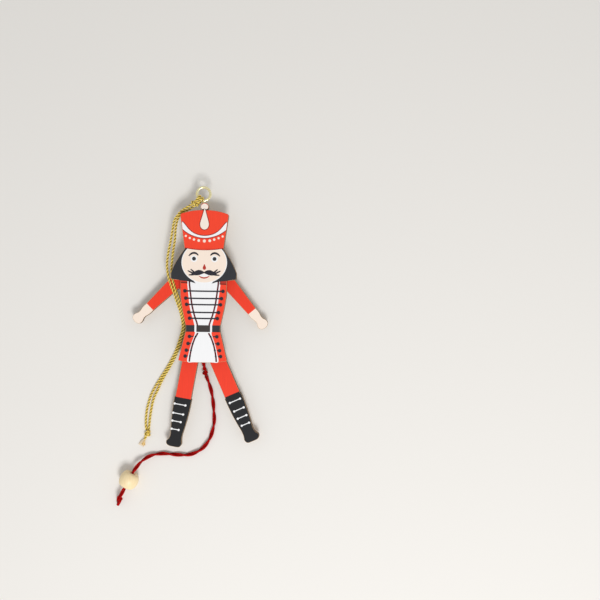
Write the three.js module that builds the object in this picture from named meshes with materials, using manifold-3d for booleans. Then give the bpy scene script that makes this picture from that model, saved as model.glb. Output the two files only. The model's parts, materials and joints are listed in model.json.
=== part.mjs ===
// A wooden jumping jack in the shape of a nutcracker soldier, lying on its back.
// Millimetres and degrees. +Z points up out of its face, +Y to its head, +X to the viewer's right.
import * as THREE from "three";
import { mergeVertices } from "three/addons/utils/BufferGeometryUtils.js";
import Module from "manifold-3d";

const wasm = await Module();
wasm.setup();

// Boards and the gaps between them, from the back to the front
const PEG_HEAD_HEIGHT = 2.4;
const RUNNING_GAP = 0.3;
const LIMB_THICKNESS = 3.0;
const WASHER_THICKNESS = 1.3;
const PANEL_THICKNESS = 3.0;

// Front panel, measured along the body from the hip line and across the whole figure
const SKIRT_DROP = 6.3;
const SKIRT_HEM_RISE = 1.1;
const SKIRT_WIDTH = 24.4;
const WAIST_HEIGHT = 9.4;
const WAIST_LENGTH = 2.6;
const WAIST_WIDTH = 17.2;
const CHEST_LENGTH = 15.5;
const CHEST_WIDTH = 23.1;
const CHEST_TAPER = 1.0;
const UPPER_CHEST_LENGTH = 7.2;
const HAIR_WIDTH = 32.9;
const HAIR_END_RISE = 0.5;
const HAIR_TIP_LENGTH = 3.2;
const HAIR_TIP_RADIUS = 1.0;
const HAIR_BULGE_WIDTH = 29.8;
const HAIR_BULGE_DROP = 1.0;
const HEAD_LENGTH = 15.9;
const HAT_BRIM_WIDTH = 19.4;
const HAT_LENGTH = 17.5;
const HAT_TOP_WIDTH = 24.5;
const HAT_CROWN_RISE = 1.9;
const HAT_CORNER_RADIUS = 1.2;
const HAT_SIDE_LEAN = 0.18;
const HAT_TOP_LEAN = 0.24;
const POMPOM_DIAMETER = 4.0;
const POMPOM_STAND = 3.6;

// Screw eye in the top edge of the panel
const EYE_WIRE_DIAMETER = 1.3;
const EYE_RING_DIAMETER = 6.7;
const EYE_STAND_OFF = 0.5;
const EYE_ASIDE = -0.75;
const EYE_SHANK_LENGTH = 8.0;
const EYE_TIP_LENGTH = 1.5;

// Pegs that the limbs turn on, with their washers
const SHOULDER_PEG_SPREAD = 16.4;
const SHOULDER_PEG_ASIDE = -1.2;
const SHOULDER_PEG_DROP = 4.1;
const HIP_PEG_SPREAD = 13.2;
const HIP_PEG_ASIDE = -0.45;
const PEG_SHANK_DIAMETER = 1.8;
const PEG_HEAD_DIAMETER = 3.4;
const PEG_HEAD_CHAMFER = 0.3;
const PEG_SINK = 2.0;
const WASHER_DIAMETER = 3.8;
const TURN_CLEARANCE = 0.15;
const PRESS_CLEARANCE = 0.1;

// Arms, measured from the shoulder peg with the arm hanging straight down
const ARM_OFFSET = 5.86;
const ARM_SHOULDER_WIDTH = 7.0;
const ARM_SHOULDER_RISE = 1.33;
const ARM_SHOULDER_CORNER = 1.5;
const ARM_LENGTH = 19.47;
const ARM_WRIST_WIDTH = 4.9;
const HAND_LENGTH = 10.7;
const HAND_CUFF_WIDTH = 5.4;
const HAND_NECK_WIDTH = 3.9;
const HAND_WIDTH = 5.5;
const HAND_NECK_SHARE = 0.5;
const HAND_PALM_SHARE = 0.8;
const HAND_BEND_SHARE = 0.15;
const ARM_STRING_REACH = 3.6;
const ARM_STRING_ANGLE = 68.6;
const STRING_TAB_WIDTH = 4.4;
const PEG_TAB_WIDTH = 5.2;
const LEFT_ARM_ANGLE = 45.7;
const RIGHT_ARM_ANGLE = 40.5;

// Legs, measured from the hip peg with the leg hanging straight down
const LEG_OFFSET = 1.35;
const LEG_WIDTH = 8.0;
const LEG_TOP_RISE = 5.0;
const LEG_TOP_CORNER = 2.4;
const LEG_LENGTH = 24.8;
const BOOT_TOP_WIDTH = 8.8;
const BOOT_LENGTH = 19.4;
const CALF_SHARE = 0.62;
const SHIN_SHARE = 0.88;
const ANKLE_WIDTH = 6.0;
const TOE_REACH = 4.5;
const HEEL_REACH = 3.5;
const FOOT_HEIGHT = 5.7;
const INSTEP_SHARE = 0.3;
const TREAD_SHARE = 0.58;
const LEG_STRING_REACH = 4.5;
const LEG_STRING_ANGLE = 37.6;
const LEFT_LEG_ANGLE = 9.9;
const RIGHT_LEG_ANGLE = 24.1;

// Pull of the cord: its travel both ways from rest, and how far each limb turns for a millimetre
const PULL_SLACK = 0.6;
const PULL_TRAVEL = 3.6;
const ARM_TURN_PER_MM = 17.2;
const LEG_TURN_PER_MM = 13.5;

// Strings and knots behind the panel
const STRING_DIAMETER = 0.8;
const STRING_PLAY = 0.6;
const LIMB_KNOT_DIAMETER = 2.5;
const LIMB_KNOT_HEIGHT = 1.5;
const TIE_KNOT_DIAMETER = 2.0;
const TIE_KNOT_HEIGHT = 1.3;
const ARM_STRING_SAG = 2.8;
const LEG_STRING_SAG = 1.8;
const STRING_TURN_DROP = 0.3;
const STRING_TURN_REACH = 0.4;
const STRING_LEVEL_REACH = 1.3;
const STRING_LEVEL_SAG = 0.12;
const CORD_GAP = 0.4;

// Pull cord, its bead and its knots
const DRAW_CORD_DIAMETER = 1.4;
const PULL_CORD_DIAMETER = 2.0;
const BEAD_DIAMETER = 9.6;
const BEAD_LENGTH = 7.9;
const BEAD_FLAT_DIAMETER = 5.2;
const BEAD_BORE_CLEARANCE = 0.3;
const GATHER_KNOT_DIAMETER = 3.0;
const END_KNOT_DIAMETER = 3.2;

// Hanging cord
const HANGING_CORD_DIAMETER = 1.2;
const HANGING_KNOT_DIAMETER = 3.2;
const HANGING_KNOT_HEIGHT = 2.5;
const HITCH_ANGLE = 232;
const HITCH_SWAY = 0.04;

// Facets
const ROUND_SIDES = 24;
const CORD_SIDES = 8;
const CURVE_STEPS = 8;
const BEAD_SIDES = 32;
const WIRE_SIDES = 12;
const RING_STEPS = 36;
const KNOT_SIDES = 12;
const KNOT_RINGS = 8;
const STRING_STEPS = 44;
const LONG_CORD_STEPS = 60;
const HITCH_STEPS = 72;
const SHORT_CORD_STEPS = 8;

// How far a cutting shape stands out past the face that it cuts
const CUT_OVERRUN = 1.0;

// Heights above the surface that the figure lies on
const LIMB_BACK_Z = PEG_HEAD_HEIGHT + RUNNING_GAP;
const LIMB_FRONT_Z = LIMB_BACK_Z + LIMB_THICKNESS;
const PANEL_BACK_Z = LIMB_FRONT_Z + RUNNING_GAP + WASHER_THICKNESS;
const PANEL_MIDDLE_Z = PANEL_BACK_Z + PANEL_THICKNESS / 2;
const STRING_Z = (LIMB_FRONT_Z + PANEL_BACK_Z) / 2;

// Heights along the body
const WAIST_TOP_Y = WAIST_HEIGHT + WAIST_LENGTH;
const CHEST_Y = WAIST_TOP_Y + CHEST_LENGTH;
const HAIR_END_Y = CHEST_Y + UPPER_CHEST_LENGTH;
const HAT_BRIM_Y = HAIR_END_Y + HEAD_LENGTH;
const HAT_CORNER_Y = HAT_BRIM_Y + HAT_LENGTH;
const HAT_CROWN_Y = HAT_CORNER_Y + HAT_CROWN_RISE;
const POMPOM_TOP_Y = HAT_CROWN_Y + POMPOM_STAND;
const EYE_Y = POMPOM_TOP_Y + EYE_STAND_OFF + (EYE_RING_DIAMETER + EYE_WIRE_DIAMETER) / 2;
const SHOULDER_PEG_Y = HAIR_END_Y - SHOULDER_PEG_DROP;

const radians = THREE.MathUtils.degToRad;

// Colours of the painted wood, the cords and the metal
const finishes = {
  coat: { color: 0xe8503a, roughness: 0.55, metalness: 0 },
  boot: { color: 0xd94a35, roughness: 0.6, metalness: 0 },
  wood: { color: 0xe8cf9f, roughness: 0.6, metalness: 0 },
  washer: { color: 0xd6bd94, roughness: 0.8, metalness: 0 },
  brass: { color: 0xd9c27a, roughness: 0.3, metalness: 1 },
  redCord: { color: 0x9a1420, roughness: 0.9, metalness: 0 },
  goldCord: { color: 0xcfa63a, roughness: 0.4, metalness: 0.8 },
};

// A mesh with a material of its own.
function piece(name, geometry, finish) {
  const mesh = new THREE.Mesh(geometry, new THREE.MeshStandardMaterial(finish));
  mesh.name = name;
  return mesh;
}

// A closed geometry as a solid that can be joined and cut.
function toSolid(geometry) {
  const bare = geometry.clone();
  bare.deleteAttribute("normal");
  bare.deleteAttribute("uv");
  const merged = mergeVertices(bare, 1e-4);
  return new wasm.Manifold(
    new wasm.Mesh({
      numProp: 3,
      vertProperties: new Float32Array(merged.attributes.position.array),
      triVerts: new Uint32Array(merged.index.array),
    }),
  );
}

// A joined or cut solid as a geometry again.
function toGeometry(solid) {
  const mesh = solid.getMesh();
  const geometry = new THREE.BufferGeometry();
  geometry.setAttribute("position", new THREE.BufferAttribute(mesh.vertProperties, 3));
  geometry.setIndex(new THREE.BufferAttribute(mesh.triVerts, 1));
  geometry.computeVertexNormals();
  return geometry;
}

// The first shapes joined, less the second ones.
function carve(joined, cuts) {
  let solid = toSolid(joined[0]);
  for (const geometry of joined.slice(1)) {
    solid = solid.add(toSolid(geometry));
  }
  for (const geometry of cuts) {
    solid = solid.subtract(toSolid(geometry));
  }
  return toGeometry(solid);
}

// A flat outline as a board with its back face at the given height.
function board(outline, thickness, back = 0) {
  const settings = { depth: thickness, bevelEnabled: false, curveSegments: CURVE_STEPS };
  return new THREE.ExtrudeGeometry(outline, settings).translate(0, 0, back);
}

// A round bar along Z from one height to another.
function barZ(diameter, x, y, from, to) {
  const radius = diameter / 2;
  const bar = new THREE.CylinderGeometry(radius, radius, to - from, ROUND_SIDES);
  return bar.rotateX(Math.PI / 2).translate(x, y, (from + to) / 2);
}

// A profile of radius and height pairs turned about Z.
function turned(profile, sides = ROUND_SIDES) {
  const points = profile.map(([radius, height]) => new THREE.Vector2(radius, height));
  return new THREE.LatheGeometry(points, sides).rotateX(Math.PI / 2);
}

// A knot as a rounded lump.
function knot(diameter, height = diameter) {
  const ball = new THREE.SphereGeometry(diameter / 2, KNOT_SIDES, KNOT_RINGS);
  return ball.rotateX(Math.PI / 2).scale(1, 1, height / diameter);
}

// A round cord along a smooth curve through the points.
function cord(points, diameter, steps) {
  const corners = Array.from({ length: CORD_SIDES }, (_, i) => {
    const turn = (2 * Math.PI * (i + 0.5)) / CORD_SIDES;
    return new THREE.Vector2(Math.cos(turn), Math.sin(turn)).multiplyScalar(diameter / 2);
  });
  const route = points.map((point) => new THREE.Vector3(...point));
  const extrudePath = new THREE.CatmullRomCurve3(route, false, "centripetal");
  return new THREE.ExtrudeGeometry(new THREE.Shape(corners), { steps, extrudePath });
}

// The panel's outline, drawn up its right side and down its left side.
function panelOutline() {
  const outline = new THREE.Shape();
  const hemY = SKIRT_HEM_RISE - SKIRT_DROP;
  const pompomRadius = POMPOM_DIAMETER / 2;
  const pompomY = POMPOM_TOP_Y - pompomRadius;
  const pompomFoot = Math.asin((pompomY - HAT_CROWN_Y) / pompomRadius);
  const footX = pompomRadius * Math.cos(pompomFoot);
  const hairTipY = HAIR_END_Y + HAIR_END_RISE;
  const hairSideY = hairTipY + HAIR_TIP_LENGTH;
  const side = (s) => ({
    skirt: [(s * SKIRT_WIDTH) / 2, hemY],
    waist: [(s * WAIST_WIDTH) / 2, WAIST_HEIGHT],
    waistTop: [(s * WAIST_WIDTH) / 2, WAIST_TOP_Y],
    chest: [(s * CHEST_WIDTH) / 2, CHEST_Y],
    neck: [(s * CHEST_WIDTH) / 2, HAIR_END_Y],
    hairTip: [(s * HAIR_WIDTH) / 2, hairTipY],
    hairSide: [(s * HAIR_WIDTH) / 2, hairSideY],
    brim: [(s * HAT_BRIM_WIDTH) / 2, HAT_BRIM_Y],
    hatCorner: [(s * HAT_TOP_WIDTH) / 2, HAT_CORNER_Y],
  });
  const right = side(1);
  const left = side(-1);
  const bellyX = (SKIRT_WIDTH + WAIST_WIDTH) / 4;
  const cornerBack = (p, s) => [p[0] - s * HAT_SIDE_LEAN, p[1] - HAT_CORNER_RADIUS];
  const cornerOver = (p, s) => [p[0] - s * HAT_CORNER_RADIUS, p[1] + HAT_TOP_LEAN];
  const hairBulgeY = (hairSideY + HAT_BRIM_Y) / 2 - HAIR_BULGE_DROP;
  const hairBulge = (s) => [(s * HAIR_BULGE_WIDTH) / 2, hairBulgeY];
  const chestBendY = CHEST_Y - CHEST_LENGTH / 2;
  const tip = HAIR_TIP_RADIUS;
  outline.moveTo(...left.skirt);
  outline.quadraticCurveTo(-bellyX, -SKIRT_DROP, 0, -SKIRT_DROP);
  outline.quadraticCurveTo(bellyX, -SKIRT_DROP, ...right.skirt);
  outline.lineTo(...right.waist);
  outline.lineTo(...right.waistTop);
  outline.quadraticCurveTo(right.chest[0] - CHEST_TAPER, chestBendY, ...right.chest);
  outline.lineTo(...right.neck);
  outline.lineTo(right.hairTip[0] - tip, right.hairTip[1]);
  outline.quadraticCurveTo(...right.hairTip, right.hairTip[0], right.hairTip[1] + tip);
  outline.lineTo(...right.hairSide);
  outline.quadraticCurveTo(...hairBulge(1), ...right.brim);
  outline.lineTo(...cornerBack(right.hatCorner, 1));
  outline.quadraticCurveTo(...right.hatCorner, ...cornerOver(right.hatCorner, 1));
  outline.quadraticCurveTo(HAT_TOP_WIDTH / 4, HAT_CROWN_Y, footX, HAT_CROWN_Y);
  outline.absarc(0, pompomY, pompomRadius, -pompomFoot, Math.PI + pompomFoot, false);
  outline.quadraticCurveTo(-HAT_TOP_WIDTH / 4, HAT_CROWN_Y, ...cornerOver(left.hatCorner, -1));
  outline.quadraticCurveTo(...left.hatCorner, ...cornerBack(left.hatCorner, -1));
  outline.lineTo(...left.brim);
  outline.quadraticCurveTo(...hairBulge(-1), ...left.hairSide);
  outline.lineTo(left.hairTip[0], left.hairTip[1] + tip);
  outline.quadraticCurveTo(...left.hairTip, left.hairTip[0] + tip, left.hairTip[1]);
  outline.lineTo(...left.neck);
  outline.lineTo(...left.chest);
  outline.quadraticCurveTo(left.chest[0] + CHEST_TAPER, chestBendY, ...left.waistTop);
  outline.lineTo(...left.waist);
  outline.closePath();
  return outline;
}

// Where the four pegs stand, with the side of the body that each is on.
const pegs = [
  { name: "left_shoulder", side: -1, x: SHOULDER_PEG_ASIDE - SHOULDER_PEG_SPREAD / 2, y: SHOULDER_PEG_Y },
  { name: "right_shoulder", side: 1, x: SHOULDER_PEG_ASIDE + SHOULDER_PEG_SPREAD / 2, y: SHOULDER_PEG_Y },
  { name: "left_hip", side: -1, x: HIP_PEG_ASIDE - HIP_PEG_SPREAD / 2, y: 0 },
  { name: "right_hip", side: 1, x: HIP_PEG_ASIDE + HIP_PEG_SPREAD / 2, y: 0 },
];

// The panel with a blind hole for each peg and one in its top edge for the screw eye.
function frontPanel() {
  const pegHole = PEG_SHANK_DIAMETER + 2 * PRESS_CLEARANCE;
  const holeTop = PANEL_BACK_Z + PEG_SINK + PRESS_CLEARANCE;
  const pegHoles = pegs.map(({ x, y }) => barZ(pegHole, x, y, PANEL_BACK_Z - CUT_OVERRUN, holeTop));
  const depth = EYE_SHANK_LENGTH + PRESS_CLEARANCE;
  const radius = EYE_WIRE_DIAMETER / 2 + PRESS_CLEARANCE;
  const eyeHole = new THREE.CylinderGeometry(radius, radius, depth + CUT_OVERRUN, ROUND_SIDES);
  eyeHole.translate(EYE_ASIDE, POMPOM_TOP_Y + (CUT_OVERRUN - depth) / 2, PANEL_MIDDLE_Z);
  return carve([board(panelOutline(), PANEL_THICKNESS, PANEL_BACK_Z)], [...pegHoles, eyeHole]);
}

// The screw eye: a ring of wire on a pointed shank.
function screwEye() {
  const wire = EYE_WIRE_DIAMETER / 2;
  const ring = new THREE.TorusGeometry(EYE_RING_DIAMETER / 2, wire, WIRE_SIDES, RING_STEPS);
  ring.translate(0, EYE_Y, 0);
  const tipY = POMPOM_TOP_Y - EYE_SHANK_LENGTH;
  const profile = [
    [0, tipY],
    [wire, tipY + EYE_TIP_LENGTH],
    [wire, EYE_Y - EYE_RING_DIAMETER / 2],
    [0, EYE_Y - EYE_RING_DIAMETER / 2],
  ];
  const points = profile.map(([radius, y]) => new THREE.Vector2(radius, y));
  const shank = new THREE.LatheGeometry(points, WIRE_SIDES);
  return carve([ring, shank], []).translate(EYE_ASIDE, 0, PANEL_MIDDLE_Z);
}

// A peg with a flat head at the back and its shank in the panel.
function peg() {
  const head = PEG_HEAD_DIAMETER / 2;
  const shank = PEG_SHANK_DIAMETER / 2;
  const tip = PANEL_BACK_Z + PEG_SINK;
  return turned([
    [0, 0],
    [head - PEG_HEAD_CHAMFER, 0],
    [head, PEG_HEAD_CHAMFER],
    [head, PEG_HEAD_HEIGHT],
    [shank, PEG_HEAD_HEIGHT],
    [shank, tip],
    [0, tip],
  ]);
}

// A washer on a peg, against the panel's back.
function washer() {
  const bore = PEG_SHANK_DIAMETER / 2 + TURN_CLEARANCE;
  const rim = WASHER_DIAMETER / 2;
  const back = PANEL_BACK_Z - WASHER_THICKNESS;
  return turned([
    [bore, back],
    [rim, back],
    [rim, PANEL_BACK_Z],
    [bore, PANEL_BACK_Z],
    [bore, back],
  ]);
}

// The place of a limb's string hole, from its peg with the limb hanging down.
function stringHole(side, reach, angle) {
  const turn = radians(angle);
  return new THREE.Vector2(-side * reach * Math.cos(turn), reach * Math.sin(turn));
}

// A limb's board, joined from its shapes, with its peg hole and its string hole.
function limb(shapes, hole) {
  const front = LIMB_FRONT_Z + CUT_OVERRUN;
  const pegHole = PEG_SHANK_DIAMETER + 2 * TURN_CLEARANCE;
  const stringBore = STRING_DIAMETER + 2 * STRING_PLAY;
  return carve(
    shapes.map((shape) => board(shape, LIMB_THICKNESS, LIMB_BACK_Z)),
    [barZ(pegHole, 0, 0, 0, front), barZ(stringBore, hole.x, hole.y, 0, front)],
  );
}

// An arm hanging down from its peg: sleeve, hand and the tab behind the chest.
function arm(side) {
  const hole = stringHole(side, ARM_STRING_REACH, ARM_STRING_ANGLE);
  const x = (across) => side * (ARM_OFFSET + across);
  const sleeve = ARM_SHOULDER_WIDTH / 2;
  const wrist = ARM_WRIST_WIDTH / 2;
  const cuff = HAND_CUFF_WIDTH / 2;
  const neck = HAND_NECK_WIDTH / 2;
  const fist = HAND_WIDTH / 2;
  const tip = -ARM_LENGTH - HAND_LENGTH;
  const corner = ARM_SHOULDER_CORNER;
  const along = (share) => -ARM_LENGTH - HAND_LENGTH * share;
  const waist = along(HAND_NECK_SHARE);
  const palm = along(HAND_PALM_SHARE);
  const flare = along(HAND_NECK_SHARE - HAND_BEND_SHARE);
  const narrow = along(HAND_NECK_SHARE + HAND_BEND_SHARE);
  const swell = along(HAND_PALM_SHARE - HAND_BEND_SHARE);
  const round = along(HAND_PALM_SHARE + HAND_BEND_SHARE);
  const outline = new THREE.Shape();
  outline.moveTo(x(-sleeve), ARM_SHOULDER_RISE);
  outline.lineTo(x(-wrist), -ARM_LENGTH);
  outline.bezierCurveTo(x(-cuff), flare, x(-neck), flare, x(-neck), waist);
  outline.bezierCurveTo(x(-neck), narrow, x(-fist), swell, x(-fist), palm);
  outline.bezierCurveTo(x(-fist), round, x(-fist / 2), tip, x(0), tip);
  outline.bezierCurveTo(x(fist / 2), tip, x(fist), round, x(fist), palm);
  outline.bezierCurveTo(x(fist), swell, x(neck), narrow, x(neck), waist);
  outline.bezierCurveTo(x(neck), flare, x(cuff), flare, x(wrist), -ARM_LENGTH);
  outline.lineTo(x(sleeve), ARM_SHOULDER_RISE - corner);
  outline.quadraticCurveTo(x(sleeve), ARM_SHOULDER_RISE, x(sleeve - corner), ARM_SHOULDER_RISE);
  outline.closePath();
  const pegTab = new THREE.Shape();
  pegTab.absarc(0, 0, PEG_TAB_WIDTH / 2, 0, 2 * Math.PI, false);
  const stringTab = new THREE.Shape();
  stringTab.absarc(hole.x, hole.y, STRING_TAB_WIDTH / 2, 0, 2 * Math.PI, false);
  const web = new THREE.Shape();
  web.moveTo(x(0), ARM_SHOULDER_RISE);
  web.lineTo(hole.x, hole.y + STRING_TAB_WIDTH / 2);
  web.lineTo(hole.x - (side * STRING_TAB_WIDTH) / 2, hole.y);
  web.lineTo((-side * PEG_TAB_WIDTH) / 2, 0);
  web.lineTo(0, -PEG_TAB_WIDTH / 2);
  web.lineTo(x(0), -PEG_TAB_WIDTH / 2);
  web.closePath();
  return limb([outline, pegTab, stringTab, web], hole);
}

// A leg hanging down from its peg: trouser and boot.
function leg(side) {
  const hole = stringHole(side, LEG_STRING_REACH, LEG_STRING_ANGLE);
  const x = (across) => side * (across - LEG_OFFSET);
  const thigh = LEG_WIDTH / 2;
  const top = BOOT_TOP_WIDTH / 2;
  const ankle = ANKLE_WIDTH / 2;
  const ankleY = -LEG_LENGTH - BOOT_LENGTH;
  const sole = ankleY - FOOT_HEIGHT;
  const calf = -LEG_LENGTH - BOOT_LENGTH * CALF_SHARE;
  const shin = -LEG_LENGTH - BOOT_LENGTH * SHIN_SHARE;
  const instep = ankleY - FOOT_HEIGHT * INSTEP_SHARE;
  const tread = ankleY - FOOT_HEIGHT * TREAD_SHARE;
  const corner = LEG_TOP_CORNER;
  const outline = new THREE.Shape();
  outline.moveTo(x(-thigh), LEG_TOP_RISE - corner);
  outline.lineTo(x(-thigh), -LEG_LENGTH);
  outline.lineTo(x(-top), -LEG_LENGTH);
  outline.bezierCurveTo(x(-top), calf, x(-ankle), shin, x(-ankle), ankleY);
  outline.quadraticCurveTo(x(-ankle), instep, x(-HEEL_REACH), tread);
  outline.quadraticCurveTo(x(-HEEL_REACH), sole, x(-HEEL_REACH / 3), sole);
  outline.lineTo(x(TOE_REACH / 3), sole);
  outline.quadraticCurveTo(x(TOE_REACH), sole, x(TOE_REACH), tread);
  outline.quadraticCurveTo(x(ankle), instep, x(ankle), ankleY);
  outline.bezierCurveTo(x(ankle), shin, x(top), calf, x(top), -LEG_LENGTH);
  outline.lineTo(x(thigh), -LEG_LENGTH);
  outline.lineTo(x(thigh), LEG_TOP_RISE - corner);
  outline.quadraticCurveTo(x(thigh), LEG_TOP_RISE, x(thigh - corner), LEG_TOP_RISE);
  outline.lineTo(x(corner - thigh), LEG_TOP_RISE);
  outline.quadraticCurveTo(x(-thigh), LEG_TOP_RISE, x(-thigh), LEG_TOP_RISE - corner);
  return limb([outline], hole);
}

// The limbs: where each hangs, how far it is raised at rest and how its string turns it.
const armString = { reach: ARM_STRING_REACH, angle: ARM_STRING_ANGLE, rate: ARM_TURN_PER_MM };
const legString = { reach: LEG_STRING_REACH, angle: LEG_STRING_ANGLE, rate: LEG_TURN_PER_MM };
const limbs = [
  { name: "left_arm", peg: pegs[0], raised: LEFT_ARM_ANGLE, make: arm, string: armString },
  { name: "right_arm", peg: pegs[1], raised: RIGHT_ARM_ANGLE, make: arm, string: armString },
  { name: "left_leg", peg: pegs[2], raised: LEFT_LEG_ANGLE, make: leg, string: legString },
  { name: "right_leg", peg: pegs[3], raised: RIGHT_LEG_ANGLE, make: leg, string: legString },
];

// Where a limb's string stands in its hole: midway along the small arc that the hole swings through.
function stringSeat({ peg: { side, x, y }, raised, string: { reach, angle, rate } }) {
  const atRest = radians(angle - raised);
  const lowest = atRest - radians(rate * PULL_TRAVEL);
  const highest = atRest + radians(rate * PULL_SLACK);
  const nearest = Math.min(Math.cos(lowest), Math.cos(highest));
  return [x - (side * reach * (1 + nearest)) / 2, y + reach * Math.sin(atRest)];
}

// A string from one limb's hole, across behind the panel and into the other limb's hole.
function limbString([leftX, leftY], [rightX, rightY], lowY) {
  const bend = STRING_DIAMETER;
  const entry = STRING_Z - bend;
  const turnZ = STRING_Z - bend * STRING_TURN_DROP;
  const turnX = bend * STRING_TURN_REACH;
  const level = bend * STRING_LEVEL_REACH;
  const eased = (y) => y + (lowY - y) * STRING_LEVEL_SAG;
  return cord(
    [
      [leftX, leftY, LIMB_BACK_Z],
      [leftX, leftY, entry],
      [leftX + turnX, leftY, turnZ],
      [leftX + level, eased(leftY), STRING_Z],
      [0, lowY, STRING_Z],
      [rightX - level, eased(rightY), STRING_Z],
      [rightX - turnX, rightY, turnZ],
      [rightX, rightY, entry],
      [rightX, rightY, LIMB_BACK_Z],
    ],
    STRING_DIAMETER,
    STRING_STEPS,
  );
}

// Routes of the cords, as they lie
const bead = new THREE.Vector3(-37.0, -66.6, BEAD_DIAMETER / 2);
const beadAxis = new THREE.Vector3(-0.456, -0.89, 0).normalize();
const alongBead = (reach) => bead.clone().addScaledVector(beadAxis, reach).toArray();
const gatherKnot = [0.6, -12.2, 2.2];
const endKnot = [-41.8, -76.1, 4.1];
const hangingKnot = [-28.4, -43.4, 1.3];

const drawCordRoute = [
  [0.0, -5.2, STRING_Z],
  [0.1, -7.6, 5.6],
  [0.2, -9.2, 4.2],
  [0.4, -10.6, 3.1],
];

const pullCordRoute = [
  [1.1, -13.9, 1.6],
  [1.7, -15.6, 1.1],
  [2.5, -17.6, 1.05],
  [3.8, -21.9, 1.05],
  [4.6, -26.0, 1.05],
  [5.1, -31.1, 1.05],
  [5.4, -34.7, 1.05],
  [5.3, -38.2, 1.05],
  [4.6, -41.8, 1.05],
  [3.4, -45.4, 1.05],
  [1.6, -48.5, 1.05],
  [-1.1, -51.3, 1.05],
  [-4.4, -53.2, 1.05],
  [-8.3, -54.2, 1.05],
  [-12.8, -54.2, 1.05],
  [-16.9, -53.9, 1.05],
  [-21.0, -53.7, 1.05],
  [-25.1, -54.3, 1.2],
  [-28.4, -55.6, 2.0],
  [-31.3, -57.7, 3.4],
  [-33.2, -60.0, 4.6],
  alongBead(-BEAD_LENGTH * 0.68),
  alongBead(-BEAD_LENGTH / 2),
  alongBead(0),
  alongBead(BEAD_LENGTH / 2),
  alongBead(BEAD_LENGTH),
  [-41.1, -74.5, 4.7],
];

const pullTailRoute = [
  [-42.3, -77.7, 3.1],
  [-42.7, -78.6, 2.0],
  [-43.0, -79.8, 1.1],
];

const leftHangingRoute = [
  [-7.75, 72.31, 8.1],
  [-9.9, 71.0, 8.0],
  [-12.0, 69.6, 7.8],
  [-13.75, 67.55, 7.65],
  [-15.0, 65.9, 7.3],
  [-15.7, 64.0, 7.1],
  [-16.25, 61.1, 6.9],
  [-16.9, 57.0, 6.7],
  [-17.5, 53.5, 6.6],
  [-18.2, 50.0, 6.5],
  [-18.8, 45.9, 6.5],
  [-19.0, 41.9, 6.5],
  [-18.7, 38.9, 6.5],
  [-18.2, 36.4, 6.5],
  [-17.4, 33.8, 6.5],
  [-16.3, 30.8, 6.5],
  [-15.0, 27.6, 6.5],
  [-14.2, 24.8, 6.1],
  [-13.3, 21.8, 4.5],
  [-12.4, 18.2, 2.0],
  [-11.8, 15.1, 0.9],
  [-11.4, 11.6, 0.65],
  [-11.6, 9.2, 0.65],
  [-12.2, 6.9, 0.65],
  [-13.2, 3.4, 0.65],
  [-14.2, 0.3, 0.65],
  [-15.4, -2.8, 0.65],
  [-16.9, -5.9, 0.65],
  [-18.6, -9.0, 0.65],
  [-20.4, -12.1, 0.65],
  [-22.3, -15.2, 0.65],
  [-24.2, -18.3, 0.65],
  [-25.8, -21.3, 0.65],
  [-27.2, -24.4, 0.65],
  [-28.3, -28.0, 0.65],
  [-29.1, -31.6, 0.65],
  [-29.5, -35.7, 0.65],
  [-29.5, -39.3, 0.8],
  [-29.1, -41.7, 1.1],
];

const rightHangingRoute = [
  [-6.5, 71.45, 8.0],
  [-8.5, 70.4, 7.2],
  [-12.0, 68.9, 6.3],
  [-13.3, 66.9, 6.4],
  [-14.35, 64.1, 6.5],
  [-14.95, 59.6, 6.6],
  [-15.2, 55.0, 6.6],
  [-15.8, 51.0, 6.5],
  [-16.2, 47.5, 6.5],
  [-16.5, 43.9, 6.5],
  [-16.7, 41.4, 6.5],
  [-16.7, 38.9, 6.5],
  [-16.4, 36.2, 6.5],
  [-15.7, 33.8, 6.5],
  [-14.7, 30.3, 6.5],
  [-13.4, 27.3, 6.5],
  [-12.6, 24.6, 6.3],
  [-12.0, 21.8, 5.3],
  [-11.5, 18.2, 3.8],
  [-10.9, 15.1, 2.3],
  [-10.5, 11.6, 1.55],
  [-10.6, 9.2, 1.5],
  [-11.2, 6.9, 1.5],
  [-12.15, 3.4, 1.5],
  [-13.15, 0.3, 1.5],
  [-14.3, -2.8, 1.5],
  [-15.75, -5.9, 1.5],
  [-17.4, -9.0, 1.5],
  [-19.15, -12.1, 1.5],
  [-20.9, -15.2, 1.3],
  [-22.4, -18.2, 0.9],
  [-23.7, -21.3, 0.65],
  [-25.2, -24.4, 0.65],
  [-26.3, -28.0, 0.65],
  [-26.9, -31.6, 0.65],
  [-27.5, -35.7, 0.65],
  [-27.8, -39.3, 0.8],
  [-28.0, -41.6, 1.2],
];

const hangingTailRoute = [
  [-29.2, -44.9, 1.0],
  [-30.3, -46.9, 0.7],
  [-31.3, -49.5, 0.65],
];

// One half of the hitch as distances out from the ring's wire, along the wire and up.
const hitchHalf = [
  [5.2, 0.75, -0.7],
  [3.9, 0.75, -0.1],
  [2.2, 0.75, 0.75],
  [0.9, 0.75, 1.4],
  [0.1, 0.76, 1.55],
  [-0.95, 0.8, 1.15],
  [-1.55, 0.88, 0.1],
  [-1.1, 1.0, -1.15],
  [0.0, 1.1, -1.6],
  [1.3, 1.15, -1.5],
  [2.4, 1.4, -1.05],
  [3.1, 1.95, -0.25],
  [3.35, 1.85, 0.85],
];

const hitchBight = [3.4, 0, 1.55];

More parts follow.
